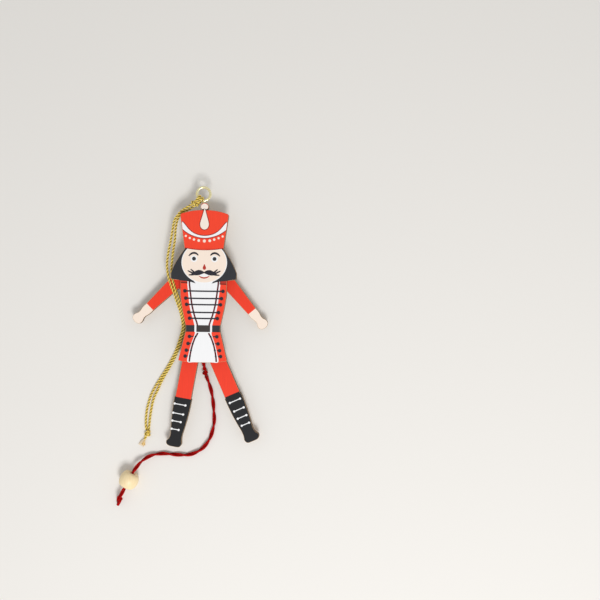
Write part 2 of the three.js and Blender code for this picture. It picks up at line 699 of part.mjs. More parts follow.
// The hitch that ties the doubled hanging cord round the ring.
function hitch() {
  const turn = radians(HITCH_ANGLE);
  const out = new THREE.Vector3(Math.cos(turn), Math.sin(turn), 0);
  const along = new THREE.Vector3(-Math.sin(turn), Math.cos(turn), 0);
  const ring = new THREE.Vector3(EYE_ASIDE, EYE_Y, PANEL_MIDDLE_Z);
  const wire = ring.addScaledVector(out, EYE_RING_DIAMETER / 2);
  const place = ([reach, aside, rise]) => {
    const sway = HITCH_SWAY * Math.max(reach, 0) ** 2;
    const spot = wire.clone().addScaledVector(out, reach).addScaledVector(along, aside - sway);
    return spot.setZ(wire.z + rise).toArray();
  };
  const first = hitchHalf.map(place);
  const bight = place(hitchBight);
  const second = hitchHalf.map(([reach, aside, rise]) => place([reach, -aside, rise])).reverse();
  return cord([...first, bight, ...second], HANGING_CORD_DIAMETER, HITCH_STEPS);
}

// The bead, turned about the cord that runs through it.
function pullBead() {
  const bore = PULL_CORD_DIAMETER / 2 + BEAD_BORE_CLEARANCE;
  const flat = BEAD_FLAT_DIAMETER / 2;
  const end = BEAD_LENGTH / 2;
  const swell = new THREE.EllipseCurve(flat, 0, BEAD_DIAMETER / 2 - flat, end, -Math.PI / 2, Math.PI / 2);
  const rim = swell.getPoints(CURVE_STEPS).map((point) => [point.x, point.y]);
  return turned([[bore, -end], ...rim, [bore, end], [bore, -end]], BEAD_SIDES);
}

const figure = new THREE.Group();
const cords = new THREE.Group();

figure.add(piece("front_panel", frontPanel(), finishes.coat));
figure.add(piece("screw_eye", screwEye(), finishes.brass));
for (const { name, x, y } of pegs) {
  const post = piece(name + "_peg", peg(), finishes.wood);
  const spacer = piece(name + "_washer", washer(), finishes.washer);
  post.position.set(x, y, 0);
  spacer.position.set(x, y, 0);
  figure.add(post, spacer);
}
for (const { name, peg: pivot, raised, make } of limbs) {
  const joint = new THREE.Group();
  joint.position.set(pivot.x, pivot.y, 0);
  joint.rotation.z = pivot.side * radians(raised);
  joint.add(piece(name, make(pivot.side), finishes.boot));
  figure.add(joint);
}

const seats = limbs.map(stringSeat);
const armLowY = Math.min(seats[0][1], seats[1][1]) - ARM_STRING_SAG;
const legLowY = Math.min(seats[2][1], seats[3][1]) - LEG_STRING_SAG;
figure.add(piece("arm_string", limbString(seats[0], seats[1], armLowY), finishes.redCord));
figure.add(piece("leg_string", limbString(seats[2], seats[3], legLowY), finishes.redCord));
limbs.forEach(({ name }, i) => {
  const lump = piece(name + "_knot", knot(LIMB_KNOT_DIAMETER, LIMB_KNOT_HEIGHT), finishes.redCord);
  lump.position.set(...seats[i], LIMB_BACK_Z - CORD_GAP - LIMB_KNOT_HEIGHT / 2);
  figure.add(lump);
});
const tieDrop = STRING_DIAMETER / 2 + CORD_GAP + TIE_KNOT_DIAMETER / 2;
const ties = [
  ["arm_tie_knot", armLowY - tieDrop],
  ["leg_tie_knot", legLowY - tieDrop],
];
for (const [name, y] of ties) {
  const lump = piece(name, knot(TIE_KNOT_DIAMETER, TIE_KNOT_HEIGHT), finishes.redCord);
  lump.position.set(0, y, STRING_Z);
  figure.add(lump);
}
const drawTopY = armLowY - tieDrop - TIE_KNOT_DIAMETER / 2 - CORD_GAP;
const drawEndY = legLowY + STRING_DIAMETER + CORD_GAP;
const drawCordTopY = legLowY - tieDrop - TIE_KNOT_DIAMETER / 2 - CORD_GAP;
const drawRoute = [
  [0, drawTopY, STRING_Z],
  [0, (drawTopY + drawEndY) / 2, STRING_Z],
  [0, drawEndY, STRING_Z],
];
figure.add(piece("draw_string", cord(drawRoute, STRING_DIAMETER, SHORT_CORD_STEPS), finishes.redCord));
const fullDrawCord = [[0, drawCordTopY, STRING_Z], ...drawCordRoute];
figure.add(piece("draw_cord", cord(fullDrawCord, DRAW_CORD_DIAMETER, SHORT_CORD_STEPS), finishes.redCord));

const gather = piece("gather_knot", knot(GATHER_KNOT_DIAMETER), finishes.redCord);
gather.position.set(...gatherKnot);
const finish = piece("end_knot", knot(END_KNOT_DIAMETER), finishes.redCord);
finish.position.set(...endKnot);
const ball = piece("pull_bead", pullBead(), finishes.wood);
ball.position.copy(bead);
ball.quaternion.setFromUnitVectors(new THREE.Vector3(0, 0, 1), beadAxis);
cords.add(gather, finish, ball);
cords.add(piece("pull_cord", cord(pullCordRoute, PULL_CORD_DIAMETER, LONG_CORD_STEPS), finishes.redCord));
cords.add(piece("pull_tail", cord(pullTailRoute, PULL_CORD_DIAMETER, SHORT_CORD_STEPS), finishes.redCord));

const loopKnot = piece("hanging_knot", knot(HANGING_KNOT_DIAMETER, HANGING_KNOT_HEIGHT), finishes.goldCord);
loopKnot.position.set(...hangingKnot);
cords.add(loopKnot);
cords.add(piece("hanging_hitch", hitch(), finishes.goldCord));
const goldRuns = [
  ["hanging_cord_left", leftHangingRoute, LONG_CORD_STEPS],
  ["hanging_cord_right", rightHangingRoute, LONG_CORD_STEPS],
  ["hanging_tail", hangingTailRoute, SHORT_CORD_STEPS],
];
for (const [name, route, steps] of goldRuns) {
  cords.add(piece(name, cord(route, HANGING_CORD_DIAMETER, steps), finishes.goldCord));
}

// The origin is under the middle of the figure, without its free cords, on the surface that it lies on.
const box = new THREE.Box3().setFromObject(figure, true);
const middle = box.getCenter(new THREE.Vector3());
const jumpingJack = new THREE.Group();
jumpingJack.add(figure, cords);
for (const group of [figure, cords]) {
  group.position.set(-middle.x, -middle.y, -box.min.z);
}

export default jumpingJack;
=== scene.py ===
"""Dresses a wooden nutcracker jumping jack that lies on its back, with its cords laid out beside it.

Sizes on the figure are millimetres from its axis and from the line through its hip pegs, seen from the
front. Blender's own sizes are metres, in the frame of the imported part.
"""

from __future__ import annotations

import functools
import json
import logging
import math
from dataclasses import dataclass, field
from enum import Enum
from typing import Self, Sequence

import bmesh
import bpy
import numpy as np
from mathutils import Matrix, Vector

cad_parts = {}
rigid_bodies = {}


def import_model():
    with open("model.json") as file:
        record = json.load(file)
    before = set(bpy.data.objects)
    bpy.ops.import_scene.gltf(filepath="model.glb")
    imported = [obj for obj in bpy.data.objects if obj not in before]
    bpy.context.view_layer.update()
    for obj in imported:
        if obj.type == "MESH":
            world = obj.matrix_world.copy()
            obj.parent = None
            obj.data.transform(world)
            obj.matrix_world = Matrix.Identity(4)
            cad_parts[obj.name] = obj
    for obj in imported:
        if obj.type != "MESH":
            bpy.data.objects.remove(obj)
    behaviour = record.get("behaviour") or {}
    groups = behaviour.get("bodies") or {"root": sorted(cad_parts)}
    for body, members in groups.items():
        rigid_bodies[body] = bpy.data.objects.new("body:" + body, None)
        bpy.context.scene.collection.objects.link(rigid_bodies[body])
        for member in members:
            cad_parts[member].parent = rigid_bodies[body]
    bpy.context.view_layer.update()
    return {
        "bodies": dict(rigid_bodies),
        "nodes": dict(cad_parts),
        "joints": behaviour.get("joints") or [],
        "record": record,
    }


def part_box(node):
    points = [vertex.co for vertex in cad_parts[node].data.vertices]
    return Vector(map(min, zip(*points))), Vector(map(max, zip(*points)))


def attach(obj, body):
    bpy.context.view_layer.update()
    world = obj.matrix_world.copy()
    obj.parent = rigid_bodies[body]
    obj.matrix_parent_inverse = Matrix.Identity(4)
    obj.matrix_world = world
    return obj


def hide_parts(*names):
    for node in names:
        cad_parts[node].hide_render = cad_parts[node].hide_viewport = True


LOG = logging.getLogger("jumping_jack")

Flat = tuple[float, float]
Spot = tuple[float, float, float]
Colour = tuple[float, float, float, float]
Line = tuple[Flat, ...]
Route = tuple[Spot, ...]
Points = Sequence[Flat] | np.ndarray
Piece = bpy.types.Object
Shape = bmesh.types.BMesh
Socket = bpy.types.NodeSocket
Material = bpy.types.Material

MM = 0.001
MICRON = 1e-6
FACE_SLACK = 10 * MICRON
TINY = 1e-9
NOISE_SPAN = (0.3, 0.7)
INK_STEP = 0.025
BOARD_ROUNDING = 0.13
FLAT_FACE = 0.95
UPRIGHT = 0.9
STRANDS = 2
STRAND_SIDES = 8
DOT_SIDES = 28
FINE_STEP = 0.2
RING_MIDDLE = (-0.75, 78.1, 8.8)
RING_RADIUS = 3.35


class Body(Enum):
    """The bodies that the pieces move with."""

    TORSO = "torso"
    LEFT_ARM = "left_arm"
    RIGHT_ARM = "right_arm"
    LEFT_LEG = "left_leg"
    RIGHT_LEG = "right_leg"
    PULL = "pull"
    BEAD = "bead"


class Slot(Enum):
    """The record's material slots."""

    PANEL = "printed_panel"
    LIMB = "printed_limb"
    PEG = "peg_wood"
    WASHER = "washer_fibre"
    BEAD = "bead_wood"
    BRASS = "eye_brass"
    RED = "red_cord"
    GOLD = "gold_cord"


class Grain(Enum):
    """Turns that lay a wood's grain, drawn along Y, along another line."""

    ALONG_BODY = (0.0, 0.0, 0.0)
    ALONG_PEG = (math.pi / 2, 0.0, 0.0)
    ACROSS_BEAD = (0.0, 0.0, -0.47)


def paint(red: int, green: int, blue: int) -> Colour:
    """Gives a colour that was matched, 0 to 255, as a shader colour."""
    shares = [value / 255 for value in (red, green, blue)]
    return (*(s / 12.92 if s <= 0.04045 else ((s + 0.055) / 1.055) ** 2.4 for s in shares), 1.0)


def shaded(colour: Colour, share: float) -> Colour:
    """Gives a colour at a share of its brightness."""
    return (*(min(1.0, part * share) for part in colour[:3]), 1.0)


class Bench:
    """Lays out the nodes of one tree."""

    tree: bpy.types.NodeTree

    def add(self, kind: str, values: dict | None = None, **settings: object) -> bpy.types.Node:
        """Adds a node.

        Args:
            kind: the node's type name.
            values: socket name or number to a value, or to an output that feeds it.
            settings: the node's own properties.

        Returns:
            The node.
        """
        node = self.tree.nodes.new(kind)
        for name, value in settings.items():
            setattr(node, name, value)
        for socket, value in (values or {}).items():
            self.put(node, socket, value)
        return node

    def put(self, node: bpy.types.Node, socket: str | int, value: object) -> None:
        """Sets a socket, or feeds it.

        Args:
            node: the node.
            socket: the name or number of its input.
            value: a value, or an output that feeds it.
        """
        if isinstance(value, Socket):
            self.tree.links.new(value, node.inputs[socket])
        else:
            node.inputs[socket].default_value = value

    def sum(self, kind: str, first: object, second: object = 0.0) -> Socket:
        """Gives the result of one step of arithmetic."""
        return self.add("ShaderNodeMath", {0: first, 1: second}, operation=kind).outputs[0]

    def added(self, first: Socket, share: float, second: Socket) -> Socket:
        """Gives a share of one value plus another value."""
        return self.sum("ADD", self.sum("MULTIPLY", first, share), second)


class MaterialBench(Bench):
    """Lays out the nodes of one material."""

    def __init__(self, name: str) -> None:
        """Starts a material with its main shader.

        Args:
            name: the material's name.
        """
        self.material = bpy.data.materials.new(name)
        self.material.use_nodes = True
        self.tree = self.material.node_tree
        self.shader = self.tree.nodes["Principled BSDF"]

    def spread(self, value: Socket, low: float = 0.0, high: float = 1.0, span: Flat = NOISE_SPAN) -> Socket:
        """Gives a value's span, by default a noise's middle range, stretched between two numbers."""
        ends = {"From Min": span[0], "From Max": span[1], "To Min": low, "To Max": high}
        return self.add("ShaderNodeMapRange", {"Value": value, **ends}).outputs["Result"]

    def noise(self, scale: float | Spot, turn: Spot = (0.0, 0.0, 0.0), detail: float = 3.0) -> Socket:
        """Gives a noise over the piece.

        Args:
            scale: its scale per metre, or one for each axis.
            turn: how it is turned about the axes.
            detail: how many finer noises it has.

        Returns:
            The noise's value.
        """
        place = self.add("ShaderNodeTexCoord").outputs["Object"]
        scales = scale if isinstance(scale, tuple) else (scale,) * 3
        mapping = self.add("ShaderNodeMapping", {"Vector": place, "Rotation": turn, "Scale": scales})
        sockets = {"Vector": mapping.outputs[0], "Scale": 1.0, "Detail": detail}
        return self.add("ShaderNodeTexNoise", sockets).outputs["Fac"]

    def stored(self, name: str, output: str = "Fac") -> Socket:
        """Gives a value that is stored on the piece's mesh."""
        return self.add("ShaderNodeAttribute", attribute_name=name).outputs[output]

    def blend(self, share: Socket, first: object, second: object) -> Socket:
        """Gives a colour between two others."""
        return self.add("ShaderNodeMix", {0: share, 6: first, 7: second}, data_type="RGBA").outputs[2]

    def bump(self, height: Socket, strength: float, depth: float) -> Socket:
        """Gives small bumps of a depth in millimetres, for the shader's normal."""
        sockets = {"Height": height, "Strength": strength, "Distance": depth * MM}
        return self.add("ShaderNodeBump", sockets).outputs[0]

    def dress(self, sockets: dict[str, object]) -> Material:
        """Sets or feeds the shader's sockets.

        Args:
            sockets: socket name to a value, or to an output that feeds it.

        Returns:
            The finished material.
        """
        for name, value in sockets.items():
            self.put(self.shader, name, value)
        return self.material


@dataclass(frozen=True)
class Finish:
    """A finish that is made once and shared by its pieces.

    In every finish a noise's scale is per metre, a roughness is its lowest and its highest, and a bump is
    its strength and its depth in millimetres.
    """

    name: str

    def material(self) -> Material:
        """Gives the finish's material, made at its first use."""
        return bpy.data.materials.get(self.name) or self.make()

    def make(self) -> Material:
        """Makes the material."""
        raise NotImplementedError


@dataclass(frozen=True)
class Ink(Finish):
    """Printing ink on plywood, with the wood's grain faintly in it."""

    colour: Colour
    mottle: float = 0.1
    gloss: float = 0.2
    grain: Spot = (2600.0, 110.0, 2600.0)
    grain_share: float = 0.6
    speck: float = 5200.0
    roughness: Flat = (0.43, 0.59)
    bump: Flat = (0.25, 0.03)

    def make(self) -> Material:
        """Makes the ink's material.

        Returns:
            The material.
        """
        bench = MaterialBench(self.name)
        speck = bench.noise(self.speck, detail=1.0)
        specks = bench.sum("MULTIPLY", speck, 1 - self.grain_share)
        tone = bench.added(bench.noise(self.grain), self.grain_share, specks)
        dark, pale = shaded(self.colour, 1 - self.mottle), shaded(self.colour, 1 + self.mottle / 2)
        return bench.dress({
            "Base Color": bench.blend(bench.spread(tone), dark, pale),
            "Specular IOR Level": self.gloss,
            "Roughness": bench.spread(speck, *self.roughness),
            "Normal": bench.bump(tone, *self.bump),
        })


@dataclass(frozen=True)
class BareWood(Finish):
    """Bare pale wood with darker lines of grain, which are some way apart in millimetres."""

    pale: Colour
    dark: Colour
    grain: Grain = Grain.ALONG_BODY
    line: float = 0.55
    roughness: Flat = (0.5, 0.72)
    stretch: float = 22.0
    line_share: float = 0.65
    cloud: Spot = (160.0, 60.0, 160.0)
    pores: Flat = (3.0, 0.25)
    pitting: float = 0.22
    bump: Flat = (0.3, 0.05)

    def make(self) -> Material:
        """Makes the wood's material.

        Returns:
            The material.
        """
        bench = MaterialBench(self.name)
        scale, turn = 1 / (self.line * MM), self.grain.value
        across, along = (scale * share for share in self.pores)
        pore = bench.noise((across, along, across), turn, detail=2.0)
        lines = bench.noise((scale, scale / self.stretch, scale), turn, detail=4.0)
        clouds = bench.sum("MULTIPLY", bench.noise(self.cloud, turn), 1 - self.line_share)
        tone = bench.added(lines, self.line_share, clouds)
        lined = bench.blend(bench.spread(tone), self.pale, self.dark)
        return bench.dress({
            "Base Color": bench.blend(bench.spread(pore, 0.0, self.pitting), lined, self.dark),
            "Roughness": bench.spread(pore, *self.roughness),
            "Normal": bench.bump(pore, *self.bump),
        })


@dataclass(frozen=True)
class BurntEdge(Finish):
    """The brown edge that a hot cut leaves on plywood, with its plies as bands."""

    burnt: Colour
    char: Colour
    ply: float = 1.0
    ply_share: float = 0.22
    soot: Spot = (900.0, 900.0, 500.0)
    soot_share: Flat = (0.25, 0.8)
    streak: Spot = (3500.0, 3500.0, 150.0)
    streak_share: float = 0.35
    roughness: Flat = (0.6, 0.85)
    bump: Flat = (0.4, 0.05)

    def make(self) -> Material:
        """Makes the edge's material.

        Returns:
            The material.
        """
        bench = MaterialBench(self.name)
        place = bench.add("ShaderNodeTexCoord").outputs["Object"]
        height = bench.add("ShaderNodeSeparateXYZ", {0: place}).outputs["Z"]
        band = bench.sum("SINE", bench.sum("MULTIPLY", height, math.pi / (self.ply * MM)))
        soot = bench.spread(bench.noise(self.soot), *self.soot_share)
        streak = bench.noise(self.streak)
        tone = bench.blend(bench.added(band, self.ply_share, soot), self.burnt, self.char)
        return bench.dress({
            "Base Color": bench.blend(bench.spread(streak, 0.0, self.streak_share), tone, self.char),
            "Roughness": bench.spread(streak, *self.roughness),
            "Normal": bench.bump(streak, *self.bump),
        })


@dataclass(frozen=True)
class BrassWire(Finish):
    """Bright brass wire with fine marks from its drawing and a little tarnish."""

    bright: Colour
    dull: Colour
    metallic: float = 0.75
    cloud: float = 700.0
    tarnish: float = 0.8
    mark: float = 5000.0
    roughness: Flat = (0.16, 0.34)
    bump: Flat = (0.12, 0.02)

    def make(self) -> Material:
        """Makes the wire's material.

        Returns:
            The material.
        """
        bench = MaterialBench(self.name)
        cloud = bench.spread(bench.noise(self.cloud), 0.0, self.tarnish)
        mark = bench.noise(self.mark, detail=2.0)
        return bench.dress({
            "Base Color": bench.blend(cloud, self.bright, self.dull),
            "Metallic": self.metallic,
            "Roughness": bench.spread(mark, *self.roughness),
            "Normal": bench.bump(mark, *self.bump),
        })


@dataclass(frozen=True)
class Yarn(Finish):
    """Twisted yarn: fine fibres run slantwise round each strand, once round in the lay's millimetres."""

    colour: Colour
    shade: Colour
    fibres: int
    lay: float
    metallic: float = 0.0
    gloss: float = 0.2
    # The next three numbers paint shade into the hollows between strands: its strength, how dark it is, and
    # the crest span over which it fades out.
    hollow_shade: float = 0.0
    dark: float = 0.3
    crest: Flat = (0.55, 0.93)
    stripe_share: float = 0.28
    stripe_relief: float = 0.3
    fuzz: float = 7000.0
    drift: float = 450.0
    drift_share: Flat = (0.25, 0.6)
    roughness: Flat = (0.68, 0.9)
    bump: Flat = (0.6, 0.06)

    def make(self) -> Material:
        """Makes the yarn's material, with painted shade in the hollows between strands.

        Returns:
            The material.
        """
        bench = MaterialBench(self.name)
        side = bench.add("ShaderNodeSeparateXYZ", {0: bench.stored("round", "Vector")}).outputs
        turn = bench.sum("ARCTAN2", side["Y"], side["X"])
        slant = bench.sum("MULTIPLY", bench.stored("along"), math.tau * self.fibres / (self.lay * MM))
        stripe = bench.sum("SINE", bench.added(turn, float(self.fibres), slant))
        fuzz = bench.noise(self.fuzz, detail=2.0)
        drift = bench.spread(bench.noise(self.drift), *self.drift_share)
        tone = bench.blend(bench.added(stripe, self.stripe_share, drift), self.colour, self.shade)
        # Painted shade: the colour darkens towards the hollows between the strands, by how far in from the
        # cord's outside each point lies.
        if self.hollow_shade > 0:
            painted_shade = bench.spread(bench.stored("crest"), self.hollow_shade, 0.0, self.crest)
            tone = bench.blend(painted_shade, tone, shaded(self.shade, self.dark))
        return bench.dress({
            "Base Color": tone,
            "Metallic": self.metallic,
            "Specular IOR Level": self.gloss,
            "Roughness": bench.spread(fuzz, *self.roughness),
            "Normal": bench.bump(bench.added(stripe, self.stripe_relief, fuzz), *self.bump),
        })


@dataclass(frozen=True)
class Ground(Finish):
    """The plain pale surface under the toy."""

    colour: Colour
    roughness: float = 0.9

    def make(self) -> Material:
        """Makes the surface's material."""
        return MaterialBench(self.name).dress({"Base Color": self.colour, "Roughness": self.roughness})


RED = Ink("coat_red_ink", paint(251, 72, 46))
LIMB_RED = Ink("sleeve_red_ink", paint(247, 66, 42))
CREAM = Ink("face_cream_ink", paint(252, 234, 218), mottle=0.04)
BISQUE = Ink("plume_cream_ink", paint(250, 236, 224), mottle=0.04)
WHITE = Ink("shirt_white_ink", paint(247, 247, 248), mottle=0.03)
SLATE = Ink("hair_slate_ink", paint(52, 53, 57), mottle=0.15)
BOOT = Ink("boot_black_ink", paint(31, 32, 34), mottle=0.12)
BELT = Ink("belt_brown_ink", paint(66, 60, 58), mottle=0.12)
PIPING = Ink("piping_wine_ink", paint(92, 14, 26))
# The outline red of the swag and plume, also used for the painted shadow line along the brim.
SEAM = Ink("hat_line_ink", paint(140, 24, 20))
LINE = Ink("braid_dark_ink", paint(46, 44, 52))
# Painted shadow: a dark ink for the shadow below the pompom and along the coat's top edge under the hair.
PAINTED_SHADOW = Ink("painted_shadow_ink", paint(74, 38, 28))
# The nose's rust red, also used for the painted shade at the shoulders.
LIPS = Ink("nose_rust_ink", paint(186, 54, 40))
PLY = BareWood("plywood_back", paint(222, 190, 142), paint(188, 150, 102))
PEG = BareWood("peg_beech", paint(231, 204, 160), paint(196, 156, 108), Grain.ALONG_PEG, 0.3)
WASHER = BareWood("washer_fibre_board", paint(214, 190, 150), paint(176, 148, 108), line=0.2)
BEAD = BareWood(
    "bead_maple", paint(252, 233, 190), paint(242, 216, 166), Grain.ACROSS_BEAD, 0.8, roughness=(0.35, 0.57)
)
EDGE = BurntEdge("burnt_board_edge", paint(106, 70, 43), paint(52, 33, 22))
BRASS = BrassWire("screw_eye_brass", paint(255, 249, 206), paint(252, 232, 164))
# Both cords have painted shade in the hollows between their strands; the gold's is the stronger and darker.
RED_YARN = Yarn("red_cotton_yarn", paint(194, 12, 8), paint(136, 2, 3), 5, 4.0, gloss=0.08, hollow_shade=0.6)
GOLD_YARN = Yarn(
    "gold_thread", paint(255, 236, 118), paint(255, 200, 62), 3, 1.6, gloss=0.6, hollow_shade=1.0, dark=0.1,
    crest=(0.56, 0.94), roughness=(0.18, 0.4), bump=(0.6, 0.05),
)
GOLD_FIBRE = Yarn(
    "loose_gold_thread", paint(252, 214, 104), paint(170, 112, 26), 3, 1.0, 0.4, roughness=(0.28, 0.5)
)
PALE_FIBRE = Yarn(
    "frayed_core_fibre", paint(252, 240, 216), paint(226, 202, 166), 3, 1.0, roughness=(0.58, 0.8)
)
GROUND = Ground("pale_ground", paint(236, 233, 228))


def smooth_run(points: Sequence[Sequence[float]], steps: int = 8, closed: bool = False) -> np.ndarray:
    """Draws a smooth line through points.

    Args:
        points: the points, flat or in space.
        steps: the steps between two points.
        closed: whether the line comes back to its start.

    Returns:
        The line's points, one to a row.
    """
    spots = np.asarray(points, float)
    if closed:
        framed = np.vstack([spots[-1], spots, spots[0], spots[1]])
    else:
        framed = np.vstack([2 * spots[0] - spots[1], spots, 2 * spots[-1] - spots[-2]])
    runs = []
    for a, b, c, d in zip(framed[:-3], framed[1:-2], framed[2:-1], framed[3:]):
        pairs = ((a, b), (b, c), (c, d))
        first, middle, last = (max(np.linalg.norm(q - p), TINY) ** 0.5 for p, q in pairs)
        second, third = first + middle, first + middle + last
        t = np.linspace(first, second, steps, endpoint=False)[:, None]
        ab = ((first - t) * a + t * b) / first
        bc = ((second - t) * b + (t - first) * c) / middle
        cd = ((third - t) * c + (t - second) * d) / last
        near = ((second - t) * ab + t * bc) / second
        far = ((third - t) * bc + (t - first) * cd) / (third - first)
        runs.append(((second - t) * near + (t - first) * far) / middle)
    if not closed:
        runs.append(spots[-1:])
    return np.vstack(runs)


def even_run(points: np.ndarray, step: float) -> np.ndarray:
    """Spaces a line's points evenly.

    Args:
        points: the line's points.
        step: about how far apart they are to be.

    Returns:
        The new points.
    """
    reach = np.concatenate([[0.0], np.cumsum(np.linalg.norm(np.diff(points, axis=0), axis=1))])
    count = max(2, round(reach[-1] / step) + 1)
    marks = np.linspace(0, reach[-1], count)
    return np.column_stack([np.interp(marks, reach, points[:, i]) for i in range(points.shape[1])])


def run_length(points: np.ndarray) -> float:
    """Gives a line's length."""
    return float(np.linalg.norm(np.diff(points, axis=0), axis=1).sum())


def unit_rows(rows: np.ndarray) -> np.ndarray:
    """Gives each row at a length of one."""
    return rows / np.maximum(np.linalg.norm(rows, axis=1), TINY)[:, None]


def left_of(ahead: np.ndarray) -> np.ndarray:
    """Gives the directions, at a length of one, to the left of flat ones."""
    rows = unit_rows(ahead)
    return np.column_stack([-rows[:, 1], rows[:, 0]])


def stroke(points: Points, *widths: float) -> np.ndarray:
    """Draws a brush stroke.

    Args:
        points: the points that its middle runs through.
        widths: its widths, evenly along it, or one for all of it.

    Returns:
        The stroke's outline.
    """
    middle = smooth_run(points)
    along = np.linspace(0, 1, len(middle))
    half = np.interp(along, np.linspace(0, 1, len(widths)), widths) / 2
    aside = left_of(np.gradient(middle, axis=0)) * half[:, None]
    return np.vstack([middle + aside, (middle - aside)[::-1]])


def grown(points: np.ndarray, rim: float) -> np.ndarray:
    """Gives a closed outline, drawn clockwise, set out by a rim."""
    ahead = np.roll(points, -1, axis=0) - np.roll(points, 1, axis=0)
    return points + left_of(ahead) * rim


def oval(middle: Flat, across: float, up: float, sides: int) -> list[Flat]:
    """Draws an oval by its half width and half height."""
    turns = [math.tau * i / sides for i in range(sides)]
    return [(middle[0] + across * math.cos(t), middle[1] + up * math.sin(t)) for t in turns]


def mirrored(points: Points, axis: float = 0.0) -> list[Flat]:
    """Gives the points on the other side of an upright line, in turned order."""
    return [(2 * axis - x, y) for x, y in reversed(points)]


def both(points: Points, axis: float = 0.0) -> list[Points]:
    """Gives an outline and its mirror image."""
    return [points, mirrored(points, axis)]


def middle_of(node: str) -> Spot:
    """Gives the middle of a node's box."""
    return tuple((low + high) / 2 for low, high in zip(*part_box(node)))


def add_object(name: str, data: bpy.types.ID) -> Piece:
    """Puts a mesh, a lamp or a camera in the scene.

    Args:
        name: the object's name.
        data: what it shows.

    Returns:
        The object.
    """
    added = bpy.data.objects.new(name, data)
    bpy.context.scene.collection.objects.link(added)
    return added


def as_piece(name: str, shape: Shape, *finishes: Finish, soft: bool = False) -> Piece:
    """Turns a shape into a piece with its finishes.

    Args:
        name: the piece's name.
        shape: the shape, which is used up.
        finishes: its finishes, by the faces' material numbers.
        soft: whether its faces shade as one smooth surface.

    Returns:
        The piece.
    """
    mesh = bpy.data.meshes.new(name)
    for face in shape.faces:
        face.smooth = soft
    shape.to_mesh(mesh)
    shape.free()
    for finish in finishes:
        mesh.materials.append(finish.material())
    return add_object(name, mesh)


def settle(piece: Piece, body: Body, slot: Slot, *nodes: str) -> Piece:
    """Lets a piece move with its body and stand for nodes of the part.

    Args:
        piece: the piece.
        body: the body that it moves with.
        slot: a material slot of the record; not used.
        nodes: the nodes that it stands for.

    Returns:
        The piece.
    """
    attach(piece, body.value)
    if nodes:
        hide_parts(*nodes)
    LOG.info("%s: %d faces, on %s", piece.name, len(piece.data.polygons), body.value)
    return piece


@dataclass(frozen=True)
class Figure:
    """Where the figure's axis and hip line are in the part's frame, in metres."""

    axis: float
    hip: float

    @staticmethod
    def found() -> Figure:
        """Reads the axis and the hip line from the panel and a hip peg."""
        return Figure(middle_of("front_panel")[0], middle_of("left_hip_peg")[1])

    def flat(self, points: Points) -> list[Flat]:
        """Gives flat points on the figure as places in the frame."""
        return [(self.axis + x * MM, self.hip + y * MM) for x, y in points]

    def spots(self, points: Sequence[Spot]) -> list[Spot]:
        """Gives points on or round the figure as places in the frame."""
        return [(self.axis + x * MM, self.hip + y * MM, z * MM) for x, y, z in points]

    def run(self, points: Sequence[Spot], step: float) -> np.ndarray:
        """Gives a smooth line through points on the figure, with even steps in millimetres."""
        return even_run(smooth_run(self.spots(points)), step * MM)


class GeometryBench(Bench):
    """Lays out a tree of geometry nodes with named inputs."""

    def __init__(self, name: str, *sizes: str) -> None:
        """Starts a tree.

        Args:
            name: the tree's name.
            sizes: the names of its inputs for sizes, which come before the material.
        """
        self.tree = bpy.data.node_groups.new(name, "GeometryNodeTree")
        inputs = {**dict.fromkeys(sizes, "NodeSocketFloat"), "Material": "NodeSocketMaterial"}
        self.give("Geometry", "INPUT", "NodeSocketGeometry")
        self.keys = {key: self.give(key, "INPUT", kind) for key, kind in inputs.items()}
        self.give("Geometry", "OUTPUT", "NodeSocketGeometry")
        self.entry = self.add("NodeGroupInput")
        self.way_out = self.add("NodeGroupOutput")

    @classmethod
    @functools.cache
    def shared(cls) -> Self:
        """Gives the one tree of its kind, built at its first use."""
        return cls()

    def give(self, name: str, side: str, kind: str) -> str:
        """Gives the tree an input or output, and its identifier back."""
        return self.tree.interface.new_socket(name, in_out=side, socket_type=kind).identifier

    def given(self, name: str) -> Socket:
        """Gives an input of the tree."""
        return self.entry.outputs[name]

    def vector(self, kind: str, *parts: Socket, output: str | int = 0) -> Socket:
        """Gives the result of one step of vector arithmetic."""
        return self.add("ShaderNodeVectorMath", dict(enumerate(parts)), operation=kind).outputs[output]

    def scaled(self, vector: Socket, share: Socket) -> Socket:
        """Gives a vector times a number."""
        return self.add("ShaderNodeVectorMath", {0: vector, "Scale": share}, operation="SCALE").outputs[0]

    def named(self, name: str, kind: str) -> Socket:
        """Gives a value that is stored under a name."""
        return self.add("GeometryNodeInputNamedAttribute", {"Name": name}, data_type=kind).outputs[0]

    def store(self, kind: str, name: str, geometry: Socket, value: Socket) -> Socket:
        """Gives the geometry with a value stored under a name."""
        sockets = {"Geometry": geometry, "Name": name, "Value": value}
        return self.add("GeometryNodeStoreNamedAttribute", sockets, data_type=kind).outputs[0]

    def close(self, geometry: Socket) -> None:
        """Ends the tree in plain geometry with its material.

        Args:
            geometry: what the tree has made.
        """
        plain = self.add("GeometryNodeRealizeInstances", {"Geometry": geometry}).outputs[0]
        sockets = {"Geometry": plain, "Material": self.given("Material")}
        self.put(self.way_out, 0, self.add("GeometryNodeSetMaterial", sockets).outputs[0])

    def grow(self, name: str, seed: bpy.types.Mesh, finish: Finish, sizes: dict[str, float]) -> Piece:
        """Makes a piece from a seed mesh.

        Args:
            name: the piece's name.
            seed: the points or edges that the tree starts from.
            finish: the piece's finish.
            sizes: a size in metres for each named input.

        Returns:
            The piece, as a plain mesh.
        """
        holder = add_object(name + "_seed", seed)
        modifier = holder.modifiers.new("grow", "NODES")
        modifier.node_group = self.tree
        for key, value in {**sizes, "Material": finish.material()}.items():
            modifier[self.keys[key]] = value
        bpy.context.view_layer.update()
        result = holder.evaluated_get(bpy.context.evaluated_depsgraph_get())
        mesh = bpy.data.meshes.new_from_object(result)
        holder.modifiers.remove(modifier)
        bpy.data.objects.remove(holder)
        mesh.name = name
        return add_object(name, mesh)


